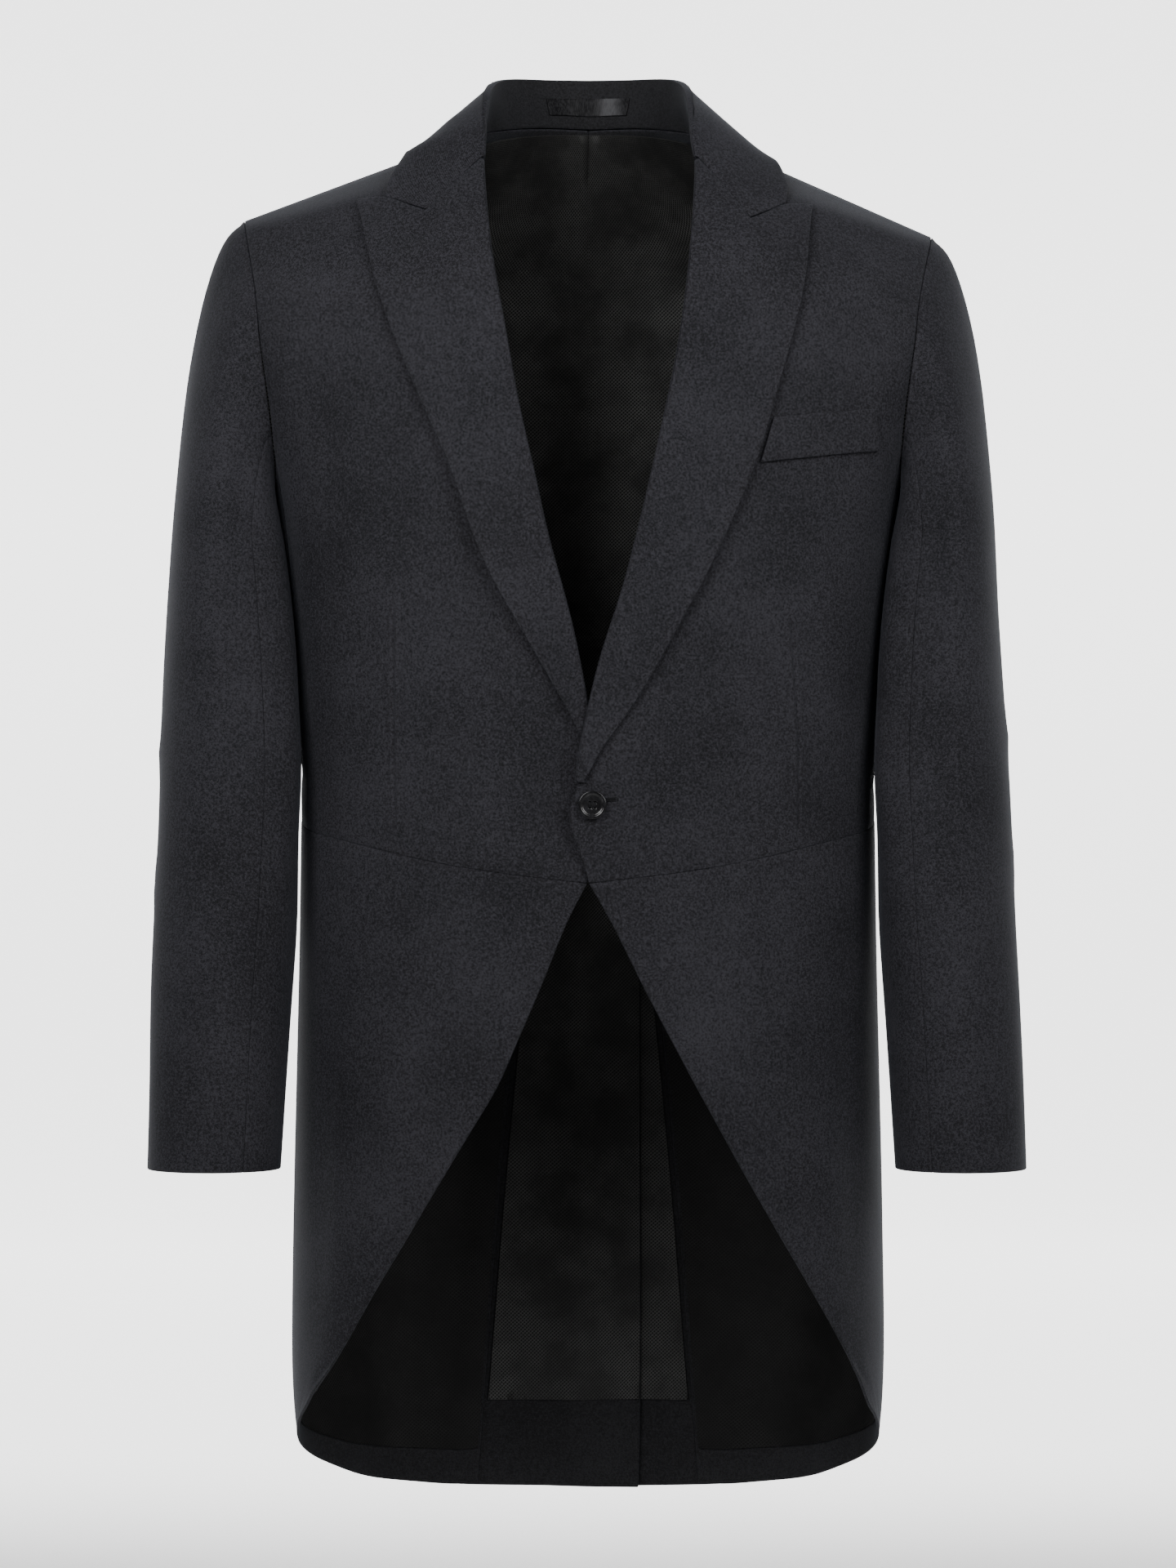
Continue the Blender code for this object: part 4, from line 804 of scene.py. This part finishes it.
def select_faces(piece: bpy.types.Object, chosen: Sequence[bool]) -> None:
    """Goes to edit mode with only the chosen faces selected.

    Args:
        piece: the object.
        chosen: whether each of its faces is selected.
    """
    choose(piece)
    mesh = piece.data
    mesh.vertices.foreach_set("select", np.zeros(len(mesh.vertices), bool))
    mesh.edges.foreach_set("select", np.zeros(len(mesh.edges), bool))
    mesh.polygons.foreach_set("select", np.array(chosen))
    bpy.ops.object.mode_set(mode="EDIT")
    bpy.ops.mesh.select_mode(type="FACE")


def add_modifier(piece: bpy.types.Object, kind: str, **settings: object) -> bpy.types.Modifier:
    """Adds a modifier.

    Args:
        piece: the object.
        kind: Blender's name for the modifier.
        settings: its settings.

    Returns:
        The modifier.
    """
    modifier = piece.modifiers.new(kind.lower(), kind)
    for key, setting in settings.items():
        setattr(modifier, key, setting)
    return modifier


def round_edges(piece: bpy.types.Object, width: float, segments: int, angle: float, **more: object) -> None:
    """Adds a bevel to the edges that turn more than an angle."""
    limit = {"limit_method": "ANGLE", "angle_limit": math.radians(angle)}
    add_modifier(piece, "BEVEL", width=width, segments=segments, **limit, **more)


def apply_modifiers(piece: bpy.types.Object) -> None:
    """Applies all of a piece's modifiers.

    Args:
        piece: the object.
    """
    choose(piece)
    for modifier in list(piece.modifiers):
        bpy.ops.object.modifier_apply(modifier=modifier.name)


@dataclass
class Seam:
    """A sewn dart, drawn into the outer face of a panel as a narrow groove between two soft lips."""

    route: tuple[tuple[float, float], ...]
    depth: float = 0.0011
    half_width: float = 0.0008
    lip: float = 0.00035
    lip_way: float = 2.6
    rounds: tuple[float, ...] = (0.012, 0.006, 0.004)
    margin: float = 0.004
    fade: float = 14

    def path(self) -> np.ndarray:
        """Returns the seam's route in close steps, rows of x and z."""
        return smooth_path(self.route, SEAM_STEPS)

    def gaps(self, points: np.ndarray) -> tuple[np.ndarray, np.ndarray]:
        """Measures from the seam, as seen from the front.

        Args:
            points: rows of x, y, z.

        Returns:
            Each point's way from the seam, and the share of the seam where it is nearest.
        """
        path = self.path()
        ways = np.linalg.norm(points[:, None, [0, 2]] - path[None, :, :], axis=2)
        return ways.min(axis=1), ways.argmin(axis=1) / (len(path) - 1)


LEFT_DART = Seam(((0.137, -0.335), (0.143, -0.422), (0.143, -0.497)))
RIGHT_DART = Seam(((-0.132, -0.329), (-0.132, -0.410), (-0.131, -0.490)))


@dataclass
class Panel:
    """One cut piece of the coat, made finer on the form of its plain solid."""

    node: str
    material: bpy.types.Material
    slot: str
    flat: tuple[float, float]
    area: float
    hold: Hold
    rests_on: tuple[str, ...]
    drape: Drape | None = None
    inner: bpy.types.Material | None = None
    facing: Callable[[np.ndarray], np.ndarray] | None = None
    seams: tuple[Seam, ...] = ()
    form: Form = TORSO
    bevel: float = SEAM_BEVEL
    wall: float = WALL
    seam_reach: float = SEAM_REACH
    middle_reach: float = 0.0
    piece: bpy.types.Object = field(init=False)

    def copy_node(self) -> None:
        """Copies the plain solid and joins its loose triangles into a clean cage."""
        mesh = bpy.data.objects[self.node].data.copy()
        mesh.materials.clear()
        self.piece = bpy.data.objects.new(self.node + "_cloth", mesh)
        bpy.context.collection.objects.link(self.piece)
        choose(self.piece)
        bpy.ops.object.mode_set(mode="EDIT")
        bpy.ops.mesh.select_all(action="SELECT")
        bpy.ops.mesh.remove_doubles(threshold=MERGE_REACH)
        turn, skew = math.radians(QUAD_TURN), math.radians(QUAD_SKEW)
        bpy.ops.mesh.tris_convert_to_quads(face_threshold=turn, shape_threshold=skew)
        bpy.ops.object.mode_set(mode="OBJECT")

    def crease_rims(self) -> None:
        """Marks the sharp edges of the wall, and the corners where they turn, so that they stay sharp."""
        mesh = self.piece.data
        work = bmesh.new()
        work.from_mesh(mesh)
        edges = work.edges.layers.float.new("crease_edge")
        corners = work.verts.layers.float.new("crease_vert")
        sharp = {edge for edge in work.edges if edge.calc_face_angle(0) > math.radians(RIM_ANGLE)}
        for edge in sharp:
            edge[edges] = 1.0
        for point in work.verts:
            met = [edge for edge in point.link_edges if edge in sharp]
            if len(met) != 2:
                point[corners] = 1.0 if len(met) > 2 else 0.0
                continue
            ways = [(edge.other_vert(point).co - point.co).normalized() for edge in met]
            point[corners] = 1.0 if ways[0].dot(ways[1]) > -math.cos(math.radians(CORNER_TURN)) else 0.0
        work.to_mesh(mesh)
        work.free()

    def close_seams(self) -> None:
        """Moves the faces of the cage's rim outwards, so that pieces that are sewn together meet."""
        work = bmesh.new()
        work.from_mesh(self.piece.data)
        work.normal_update()
        edges = work.edges.layers.float["crease_edge"]
        moves: dict[int, Vector] = {}
        for face in work.faces:
            sharp = [edge for edge in face.edges if edge[edges] > 0.5]
            width = min(edge.calc_length() for edge in face.edges)
            if len(face.edges) != 4 or len(sharp) < 2 or width > RIM_WIDTH * self.wall:
                continue
            for point in face.verts:
                moves[point.index] = moves.get(point.index, Vector()) + face.normal
        work.verts.ensure_lookup_table()
        for index, way in moves.items():
            if way.length > 0.5:  # faces that look opposite ways leave their point as it is
                work.verts[index].co += way.normalized() * self.seam_reach
        for point in work.verts:
            if abs(point.co.x) < self.middle_reach:
                point.co.x = 0.0
        work.to_mesh(self.piece.data)
        work.free()

    def refine(self) -> None:
        """Subdivides the cage so that the fine surface still passes through the solid's own points."""
        aim = places(self.piece.data)
        levels = FINE_LEVELS
        add_modifier(self.piece, "SUBSURF", levels=levels, render_levels=levels)
        cage = aim.copy()
        for _ in range(FIT_ROUNDS):
            graph = bpy.context.evaluated_depsgraph_get()
            fine = places(self.piece.evaluated_get(graph).data)[: len(aim)]
            cage += aim - fine
            put_places(self.piece.data, cage)
        apply_modifiers(self.piece)

    def outer(self) -> np.ndarray:
        """Returns which points lie on the outer wall, by their normals."""
        mesh = self.piece.data
        return (rows_of(mesh.vertices, "normal") * self.form.outward(places(mesh))).sum(axis=1) > OUTER_SHARE

    def sew(self, seam: Seam) -> None:
        """Makes the cloth finer along a seam and presses the seam in.

        Args:
            seam: the seam.
        """
        mesh = self.piece.data
        for reach in seam.rounds:
            gaps, _ = seam.gaps(places(mesh))
            near = (gaps < reach + seam.margin) & self.outer()
            corners = [list(face.vertices) for face in mesh.polygons]
            select_faces(self.piece, [all(near[corner]) and gaps[corner].min() < reach for corner in corners])
            bpy.ops.mesh.subdivide(number_cuts=1, smoothness=0)
            bpy.ops.mesh.select_mode(type="VERT")
            bpy.ops.object.mode_set(mode="OBJECT")
        points = places(mesh)
        gaps, share = seam.gaps(points)
        ends = np.clip(np.minimum(share, 1 - share) * seam.fade, 0, 1)
        dip = -seam.depth * np.exp(-((gaps / seam.half_width) ** 2))
        lips = seam.lip * np.exp(-(((gaps - seam.lip_way * seam.half_width) / seam.half_width) ** 2))
        move = (dip + lips) * ends * self.outer()
        put_places(mesh, points + self.form.outward(points) * move[:, None])

    def map_cloth(self) -> None:
        """Gives the piece its cloth map: metres round the form, and metres up."""
        mesh = self.piece.data
        points = places(mesh)
        flat = np.column_stack([self.form.round_place(points), points[:, 2]])
        corners = np.empty(len(mesh.loops), dtype=int)
        mesh.loops.foreach_get("vertex_index", corners)
        cloth_map = mesh.uv_layers.new(name="cloth")
        cloth_map.data.foreach_set("uv", flat[corners].ravel())

    def dress(self) -> None:
        """Gives the faces their materials: cloth outside, and lining inside where the piece is lined."""
        mesh = self.piece.data
        mesh.materials.append(self.material)
        if self.inner is None:
            return
        mesh.materials.append(self.inner)
        middles, normals = rows_of(mesh.polygons, "center"), rows_of(mesh.polygons, "normal")
        inside = (normals * self.form.outward(middles)).sum(axis=1) < INNER_SHARE
        if self.facing is not None:
            inside &= ~self.facing(middles)
        mesh.polygons.foreach_set("material_index", inside.astype(np.int32))

    def build(self) -> None:
        """Builds the piece and hides the plain solid that it stands for."""
        self.copy_node()
        self.crease_rims()
        if self.seam_reach:
            self.close_seams()
        self.refine()
        if self.drape is not None:
            put_places(self.piece.data, self.drape.moved(places(self.piece.data)))
        for seam in self.seams:
            self.sew(seam)
        if self.bevel:
            round_edges(self.piece, self.bevel, 2, RIM_ANGLE, use_clamp_overlap=False)
            apply_modifiers(self.piece)
        choose(self.piece)
        bpy.ops.object.shade_smooth_by_angle(angle=math.radians(SMOOTH_ANGLE))
        self.map_cloth()
        self.dress()
        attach(self.piece, "root")
        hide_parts(self.node)
        LOG.info("panel %s: %d faces", self.piece.name, len(self.piece.data.polygons))

    def declare(self) -> None:
        """Does nothing."""


# The coat's pieces


def below(height: float) -> Callable[[np.ndarray], np.ndarray]:
    """Returns a test for rows of places under a height, such as a cuff's turn-up."""
    return lambda points: points[:, 2] < height


def nearer_than(reach: float) -> Callable[[np.ndarray], np.ndarray]:
    """Returns a test for rows of places less than a reach from the front's middle, where the facing lies."""
    return lambda points: (np.abs(points[:, 0]) < reach) & (points[:, 1] < 0)


@dataclass
class Disc:
    """Where a turned button sits: fitted to its plain solid."""

    node: str
    outward: Vector
    centre: Vector = field(init=False)
    axis: Vector = field(init=False)
    radius: float = field(init=False)
    thickness: float = field(init=False)

    def __post_init__(self) -> None:
        """Fits the disc."""
        points = places(bpy.data.objects[self.node].data)
        points = np.unique(points.round(7), axis=0)
        middle = (points.min(axis=0) + points.max(axis=0)) / 2
        spread = np.linalg.eigh(np.cov((points - points.mean(axis=0)).T))[1]
        axis = Vector(spread[:, 0]).normalized()
        self.axis = axis if axis.dot(self.outward) > 0 else -axis
        along = (points - middle) @ np.array(self.axis)
        self.thickness = float(along.max() - along.min())
        self.centre = Vector(middle) + self.axis * float(along.max() + along.min()) / 2
        reach = points - np.array(self.centre)
        across = reach - np.outer(reach @ np.array(self.axis), self.axis)
        self.radius = float(np.linalg.norm(across, axis=1).max())

    def place(self, piece: bpy.types.Object) -> None:
        """Moves a mesh modelled at the origin, facing up, to the disc's place.

        Args:
            piece: the object, whose mesh is moved.
        """
        turn = self.axis.to_track_quat("Z", "Y").to_matrix().to_4x4()
        piece.data.transform(turn)
        for point in piece.data.vertices:
            point.co += self.centre
        piece.data.update()


def pick_faces(piece: bpy.types.Object, test: Callable[[Vector], bool]) -> None:
    """Goes to edit mode with the faces selected whose normals pass a test."""
    select_faces(piece, [test(face.normal) for face in piece.data.polygons])


def turn_from_line(
    name: str, route: Sequence[Sequence[float]], radius: float, resolution: int = 3
) -> bpy.types.Object:
    """Makes a thin round strand along a route.

    Args:
        name: the strand's name.
        route: its points.
        radius: its radius.
        resolution: how round it is.

    Returns:
        The strand, as a mesh.
    """
    line = bpy.data.curves.new(name, "CURVE")
    line.dimensions = "3D"
    line.bevel_depth = radius
    line.bevel_resolution = resolution
    line.use_fill_caps = True
    spline = line.splines.new("POLY")
    spline.points.add(len(route) - 1)
    for point, place in zip(spline.points, route):
        point.co = (*place, 1)
    piece = bpy.data.objects.new(name, line)
    bpy.context.collection.objects.link(piece)
    choose(piece)
    bpy.ops.object.convert(target="MESH")
    piece = bpy.context.view_layer.objects.active
    bpy.ops.object.shade_smooth()
    return piece


def join(name: str, parts: Sequence[bpy.types.Object]) -> bpy.types.Object:
    """Joins meshes into one piece.

    Args:
        name: the piece's name.
        parts: the meshes.

    Returns:
        The joined piece.
    """
    choose(*parts)
    bpy.ops.object.join()
    piece = bpy.context.view_layer.objects.active
    piece.name = name
    return piece


def finish_trim(piece: bpy.types.Object, material: bpy.types.Material) -> None:
    """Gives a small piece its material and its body.

    Args:
        piece: the object.
        material: its material.
    """
    piece.data.materials.clear()
    piece.data.materials.append(material)
    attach(piece, "root")
    LOG.info("%s: %d faces", piece.name, len(piece.data.polygons))


@dataclass
class CoatButton:
    """A turned four-hole button with a raised round rim and a dished face, sewn on with thread."""

    node: str
    outward: Vector
    wardrobe: Wardrobe
    sides: int = 72
    rim: float = 0.0019
    rim_slope: float = 0.35
    rim_round: float = 0.42
    dish: float = 0.0010
    dish_step: float = 0.75
    well: float = 0.22
    back_inset: float = 0.2
    hole_radius: float = 0.00095
    hole_way: float = 0.0017
    hole_round: float = 0.00014
    thread_radius: float = 0.00028
    thread_sink: float = 0.35

    def model_body(self, disc: Disc) -> bpy.types.Object:
        """Models the button, facing up at the origin.

        Args:
            disc: the place and size that it has.

        Returns:
            The button's body.
        """
        bpy.ops.object.select_all(action="DESELECT")
        bpy.ops.mesh.primitive_cylinder_add(vertices=self.sides, radius=disc.radius, depth=disc.thickness)
        body = bpy.context.view_layer.objects.active
        body.name = self.node + "_turned"
        pick_faces(body, lambda normal: normal.z > 0.9)
        bpy.ops.mesh.inset(thickness=self.rim)
        bpy.ops.mesh.inset(thickness=self.rim * self.rim_slope)
        bpy.ops.transform.translate(value=(0, 0, -self.dish * self.dish_step))
        bpy.ops.mesh.inset(thickness=disc.radius * self.well)
        bpy.ops.transform.translate(value=(0, 0, -self.dish * (1 - self.dish_step)))
        bpy.ops.object.mode_set(mode="OBJECT")
        pick_faces(body, lambda normal: normal.z < -0.9)
        bpy.ops.mesh.inset(thickness=disc.radius * self.back_inset)
        bpy.ops.object.mode_set(mode="OBJECT")
        drills = []
        for column, row in ((-1, -1), (-1, 1), (1, -1), (1, 1)):
            spot = (column * self.hole_way, row * self.hole_way, 0)
            size = {"radius": self.hole_radius, "depth": disc.thickness * 3}
            bpy.ops.object.select_all(action="DESELECT")
            bpy.ops.mesh.primitive_cylinder_add(vertices=20, location=spot, **size)
            drills.append(bpy.context.view_layer.objects.active)
        drill = join("drill", drills)
        choose(drill)
        bpy.ops.object.transform_apply(location=True, rotation=True, scale=True)
        round_edges(body, self.rim * self.rim_round, 4, 28)
        apply_modifiers(body)
        add_modifier(body, "BOOLEAN", operation="DIFFERENCE", object=drill, solver="EXACT")
        round_edges(body, self.hole_round, 2, 60)
        apply_modifiers(body)
        bpy.data.objects.remove(drill)
        choose(body)
        bpy.ops.object.shade_smooth_by_angle(angle=math.radians(40))
        return body

    def model_thread(self, disc: Disc) -> bpy.types.Object:
        """Models the sewing thread: three strands over each pair of holes.

        Args:
            disc: the button's place and size.

        Returns:
            The thread.
        """
        top, sunk = disc.thickness / 2 - self.dish, -disc.thickness * self.thread_sink
        strands = []
        for column in (-1, 1):
            for strand in (-1, 0, 1):
                x = column * self.hole_way + strand * self.thread_radius * 1.7
                lift = self.thread_radius * (1.5 + 0.5 * (strand == 0))
                half = ((0.7, lift), (1.0, 0), (1.05, sunk))
                arch = [*((-way, height) for way, height in reversed(half)), (0, lift * 1.25), *half]
                rows = [(x, way * self.hole_way, top + height) for way, height in arch]
                strands.append(turn_from_line("strand", rows, self.thread_radius))
        return join(self.node + "_thread", strands)

    def build(self) -> None:
        """Builds the button and its thread."""
        disc = Disc(self.node, self.outward)
        body, thread = self.model_body(disc), self.model_thread(disc)
        disc.place(body)
        disc.place(thread)
        finish_trim(body, self.wardrobe.button)
        finish_trim(thread, self.wardrobe.thread)
        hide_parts(self.node)


@dataclass
class Buttonhole:
    """A worked buttonhole: purled edges that close round its end, with a dark strand in the slit as painted
    shade, laid on a finished panel.

    The start and end are x and z, as seen from the front.
    """

    ground: bpy.types.Object
    wardrobe: Wardrobe
    start: tuple[float, float] = (0.0006, -0.4676)
    end: tuple[float, float] = (0.0192, -0.4664)
    half_width: float = 0.0008
    pitch: float = 0.0005
    thread_radius: float = 0.0002
    slit_radius: float = 0.00022
    slit_sink: float = 0.00002

    def seat(self, tree: BVHTree, x: float, z: float, height: float) -> Vector:
        """Returns the place so far over the cloth at x and z, from the tree of the panel's faces."""
        spot, normal, _, _ = tree.ray_cast(Vector((x, -1, z)), Vector((0, 1, 0)))
        return spot + normal * height

    def build(self) -> None:
        """Works the buttonhole."""
        mesh = self.ground.data
        corners = [face.vertices for face in mesh.polygons]
        tree = BVHTree.FromPolygons([point.co for point in mesh.vertices], corners)
        along = Vector(self.end) - Vector(self.start)
        length, way = along.length, along.normalized()
        side = Vector((-way.y, way.x))
        count = int(length / self.pitch)
        steps = [Vector(self.start) + way * self.pitch * step for step in range(count)]
        stitches = [(step, side * sign) for step in steps for sign in (-1, 1)]
        for turn in range(-60, 61, 30):
            angle = math.radians(turn)
            stitches.append((Vector(self.end), way * math.cos(angle) + side * math.sin(angle)))
        strands = []
        for middle, out in stitches:
            route = []
            for share, lift in ((0.3, -0.2), (0.45, 0.9), (1.0, 1.3), (1.5, 0.7), (1.75, -0.3)):
                spot = middle + out * self.half_width * share
                route.append(self.seat(tree, spot.x, spot.y, lift * self.thread_radius))
            strands.append(turn_from_line("stitch", route, self.thread_radius, 2))
        purl = join("buttonhole_purl", strands)
        # Painted shade: a dark strand of the black button stock lies in the slit, where only shade would
        # show.
        line = [Vector(self.start) + along * step / 8 for step in range(9)]
        route = [self.seat(tree, spot.x, spot.y, -self.slit_sink) for spot in line]
        slit = turn_from_line("buttonhole_slit", route, self.slit_radius, 2)
        finish_trim(purl, self.wardrobe.thread)
        finish_trim(slit, self.wardrobe.button)


@dataclass
class Coat:
    """The whole coat."""

    wardrobe: Wardrobe
    panels: list[Panel] = field(default_factory=list)

    def add_panel(
        self, node: str, flat: tuple[float, float], area: float, rests_on: tuple[str, ...], **more: object
    ) -> None:
        """Builds a panel of the coat's own cloth, unless another finish is given.

        Args:
            node: the plain solid that it stands for.
            flat: the cut's width and length; not used.
            area: the cut's area; not used.
            rests_on: what carries it; not used.
            more: what differs from a plain body panel.
        """
        cloth = self.wardrobe.cloth
        plain = {"slot": "coat_cloth", "hold": Hold.HUNG, "drape": BODY_DRAPE, "material": cloth}
        panel = Panel(node, flat=flat, area=area, rests_on=rests_on, **(plain | more))
        panel.build()
        self.panels.append(panel)

    def build_body(self) -> None:
        """Builds the panels round the body."""
        # The backs and the skirts take the darker copy of the cloth inside: painted shade on the facings and
        # the hem.
        lining, facing = self.wardrobe.lining, self.wardrobe.shaded_cloth
        for side, fore, back, dart, drape in (
            ("left", 0.103, 0.116, LEFT_DART, BODY_DRAPE),
            ("right", 0.106, 0.134, RIGHT_DART, RIGHT_FRONT_DRAPE),
        ):
            on_back, on_fore = (f"back_{side}_cloth",), (f"forepart_{side}_cloth",)
            self.add_panel(
                f"forepart_{side}", (0.270, 0.540), fore, on_back,
                drape=drape, inner=lining, seams=(dart,), facing=nearer_than(0.085),
            )
            self.add_panel(f"side_body_{side}", (0.135, 0.400), 0.046, on_fore, inner=lining)
            self.add_panel(f"back_{side}", (0.250, 1.010), back, on_fore, inner=facing, middle_reach=0.0008)
            self.add_panel(f"skirt_{side}", (0.380, 0.520), 0.160, on_fore, inner=facing)

    def build_collar(self) -> None:
        """Builds the lapels, the collar and the breast welt."""
        for side, area in (("left", 0.0289), ("right", 0.0264)):
            self.add_panel(
                f"lapel_{side}", (0.115, 0.450), area, (f"forepart_{side}_cloth",),
                hold=Hold.FOLDED, seam_reach=0.0,
            )
        # The collar's inner side takes the darker copy of the cloth: painted shade.
        self.add_panel(
            "collar", (0.500, 0.105), 0.0423, ("back_left_cloth", "back_right_cloth"),
            hold=Hold.FOLDED, inner=self.wardrobe.shaded_cloth, form=NECK, drape=None, seam_reach=0.0,
        )
        self.add_panel(
            "breast_welt", (0.100, 0.030), 0.0027, ("forepart_left_cloth",),
            hold=Hold.STRETCHED, bevel=0.0006, seam_reach=0.0,
        )

    def build_sleeves(self) -> None:
        """Builds the sleeves, each with its lining and turn-up inside."""
        for side, sign in (("left", 1), ("right", -1)):
            drape = SLEEVE_DRAPES[sign]
            carriers = (f"forepart_{side}_cloth", f"back_{side}_cloth")
            for node, flat, area in (
                ("topsleeve", (0.225, 0.690), 0.129),
                ("undersleeve", (0.140, 0.570), 0.065),
            ):
                self.add_panel(
                    f"{node}_{side}", flat, area, carriers,
                    drape=drape, form=drape.form, inner=self.wardrobe.lining, facing=below(CUFF_TURN_UP),
                )

    def build_linings(self) -> None:
        """Builds the linings of the back, the tails and the skirts."""
        # The skirts take the darker copy of the lining: painted shade.
        for side, back in (("left", 0.098), ("right", 0.114)):
            for node, flat, area, finish in (
                ("lining_back", (0.240, 0.960), back, self.wardrobe.lining),
                ("lining_skirt", (0.340, 0.470), 0.142, self.wardrobe.shaded_skirt_lining),
            ):
                carrier = node.replace("lining_", "") + f"_{side}_cloth"
                self.add_panel(
                    f"{node}_{side}", flat, area, (carrier,), material=finish, slot="lining",
                    bevel=0.0, wall=LINING_WALL, seam_reach=LINING_REACH, middle_reach=0.004,
                )

    def build_loop(self) -> None:
        """Builds the bare satin loop inside the neck."""
        self.add_panel(
            "hanger_loop", (0.012, 0.075), 0.0008, ("lining_back_left_cloth",),
            material=self.wardrobe.satin, slot="loop", hold=Hold.STRETCHED,
            form=NECK, drape=None, bevel=0.0002, seam_reach=0.0,
        )

    def build(self) -> None:
        self.build_body()
        self.build_collar()
        self.build_sleeves()
        self.build_linings()
        self.build_loop()
        for node, y in (("front_button", -1), ("waist_button_left", 1), ("waist_button_right", 1)):
            CoatButton(node, Vector((0, y, 0)), self.wardrobe).build()
        Buttonhole(bpy.data.objects["forepart_left_cloth"], self.wardrobe).build()
        for panel in self.panels:
            panel.declare()


@dataclass
class Studio:
    """A pale sweep of paper, soft lights and the camera square on to the coat's front."""

    wardrobe: Wardrobe
    floor_height: float = -1.12
    floor_start: float = -6.0
    sweep_start: float = 3.6
    sweep_radius: float = 1.0
    width: float = 9.0
    top: float = 4.5
    camera_way: float = 3.4
    camera_height: float = -0.456
    view_height: float = 1.0944
    sensor_height: float = 24.0
    spread: float = 85.0
    air: float = 0.10

    def build_floor(self) -> None:
        """Lays the floor, which sweeps up into the backdrop."""
        bpy.ops.object.select_all(action="DESELECT")
        bpy.ops.mesh.primitive_grid_add(x_subdivisions=2, y_subdivisions=64, size=1)
        floor = bpy.context.view_layer.objects.active
        floor.name = "studio_floor"
        quarter = math.pi / 2 * self.sweep_radius
        length = self.sweep_start - self.floor_start + quarter + self.top
        points = places(floor.data)
        along = self.floor_start + (points[:, 1] + 0.5) * length
        turn = np.clip((along - self.sweep_start) / self.sweep_radius, 0, math.pi / 2)
        rise = np.maximum(along - self.sweep_start - quarter, 0)
        points[:, 0] *= self.width
        points[:, 1] = np.minimum(along, self.sweep_start) + self.sweep_radius * np.sin(turn)
        points[:, 2] = self.floor_height + self.sweep_radius * (1 - np.cos(turn)) + rise
        put_places(floor.data, points)
        choose(floor)
        bpy.ops.object.shade_smooth()
        floor.data.materials.append(self.wardrobe.paper)

    def add_light(
        self,
        name: str,
        place: tuple[float, float, float],
        aim: tuple[float, float, float],
        size: float,
        power: float,
    ) -> None:
        """Adds a soft square light.

        Args:
            name: the light's name.
            place: where it stands.
            aim: what it points at.
            size: the length of its side.
            power: its power in watts.
        """
        lamp = bpy.data.lights.new(name, "AREA")
        lamp.shape = "SQUARE"
        lamp.size = size
        lamp.spread = math.radians(self.spread)
        lamp.energy = power
        light = bpy.data.objects.new(name, lamp)
        bpy.context.collection.objects.link(light)
        light.location = place
        light.rotation_euler = (Vector(aim) - Vector(place)).to_track_quat("-Z", "Y").to_euler()

    def build_lights(self) -> None:
        """Sets the lights and the pale surroundings."""
        middle = (0.0, 0.0, -0.45)
        high = (0.0, 0.0, -0.14)
        self.add_light("key", (-0.85, -1.55, 0.45), high, 1.2, 9.6)
        self.add_light("fill", (1.15, -1.6, 0.40), high, 1.3, 9.2)
        self.add_light("top", (0.0, -0.4, 2.2), middle, 1.6, 0.25)
        self.add_light("rim_left", (2.2, 0.7, 0.2), middle, 1.4, 3.2)
        self.add_light("rim_right", (-2.2, 0.7, 0.2), middle, 1.4, 3.2)
        world = bpy.data.worlds.new("studio_air")
        world.use_nodes = True
        world.node_tree.nodes["Background"].inputs["Color"].default_value = (1, 1, 1, 1)
        world.node_tree.nodes["Background"].inputs["Strength"].default_value = self.air
        bpy.context.scene.world = world

    def build_camera(self) -> None:
        """Sets the camera level, square on to the front."""
        data = bpy.data.cameras.new("photo_camera")
        data.sensor_fit = "VERTICAL"
        data.sensor_height = self.sensor_height
        data.lens = self.sensor_height * self.camera_way / self.view_height
        camera = bpy.data.objects.new("photo_camera", data)
        bpy.context.collection.objects.link(camera)
        camera.location = (0, -self.camera_way, self.camera_height)
        camera.rotation_euler = (math.pi / 2, 0, 0)
        bpy.context.scene.camera = camera

    def build(self) -> None:
        """Sets up the studio."""
        self.build_floor()
        self.build_lights()
        self.build_camera()
        LOG.info("studio: floor, lights and camera")


def main() -> None:
    """Builds the coat and its studio."""
    logging.basicConfig(level=logging.INFO, format="%(name)s: %(message)s")
    wardrobe = Wardrobe()
    Coat(wardrobe).build()
    Studio(wardrobe).build()


if __name__ == "__main__":
    main()
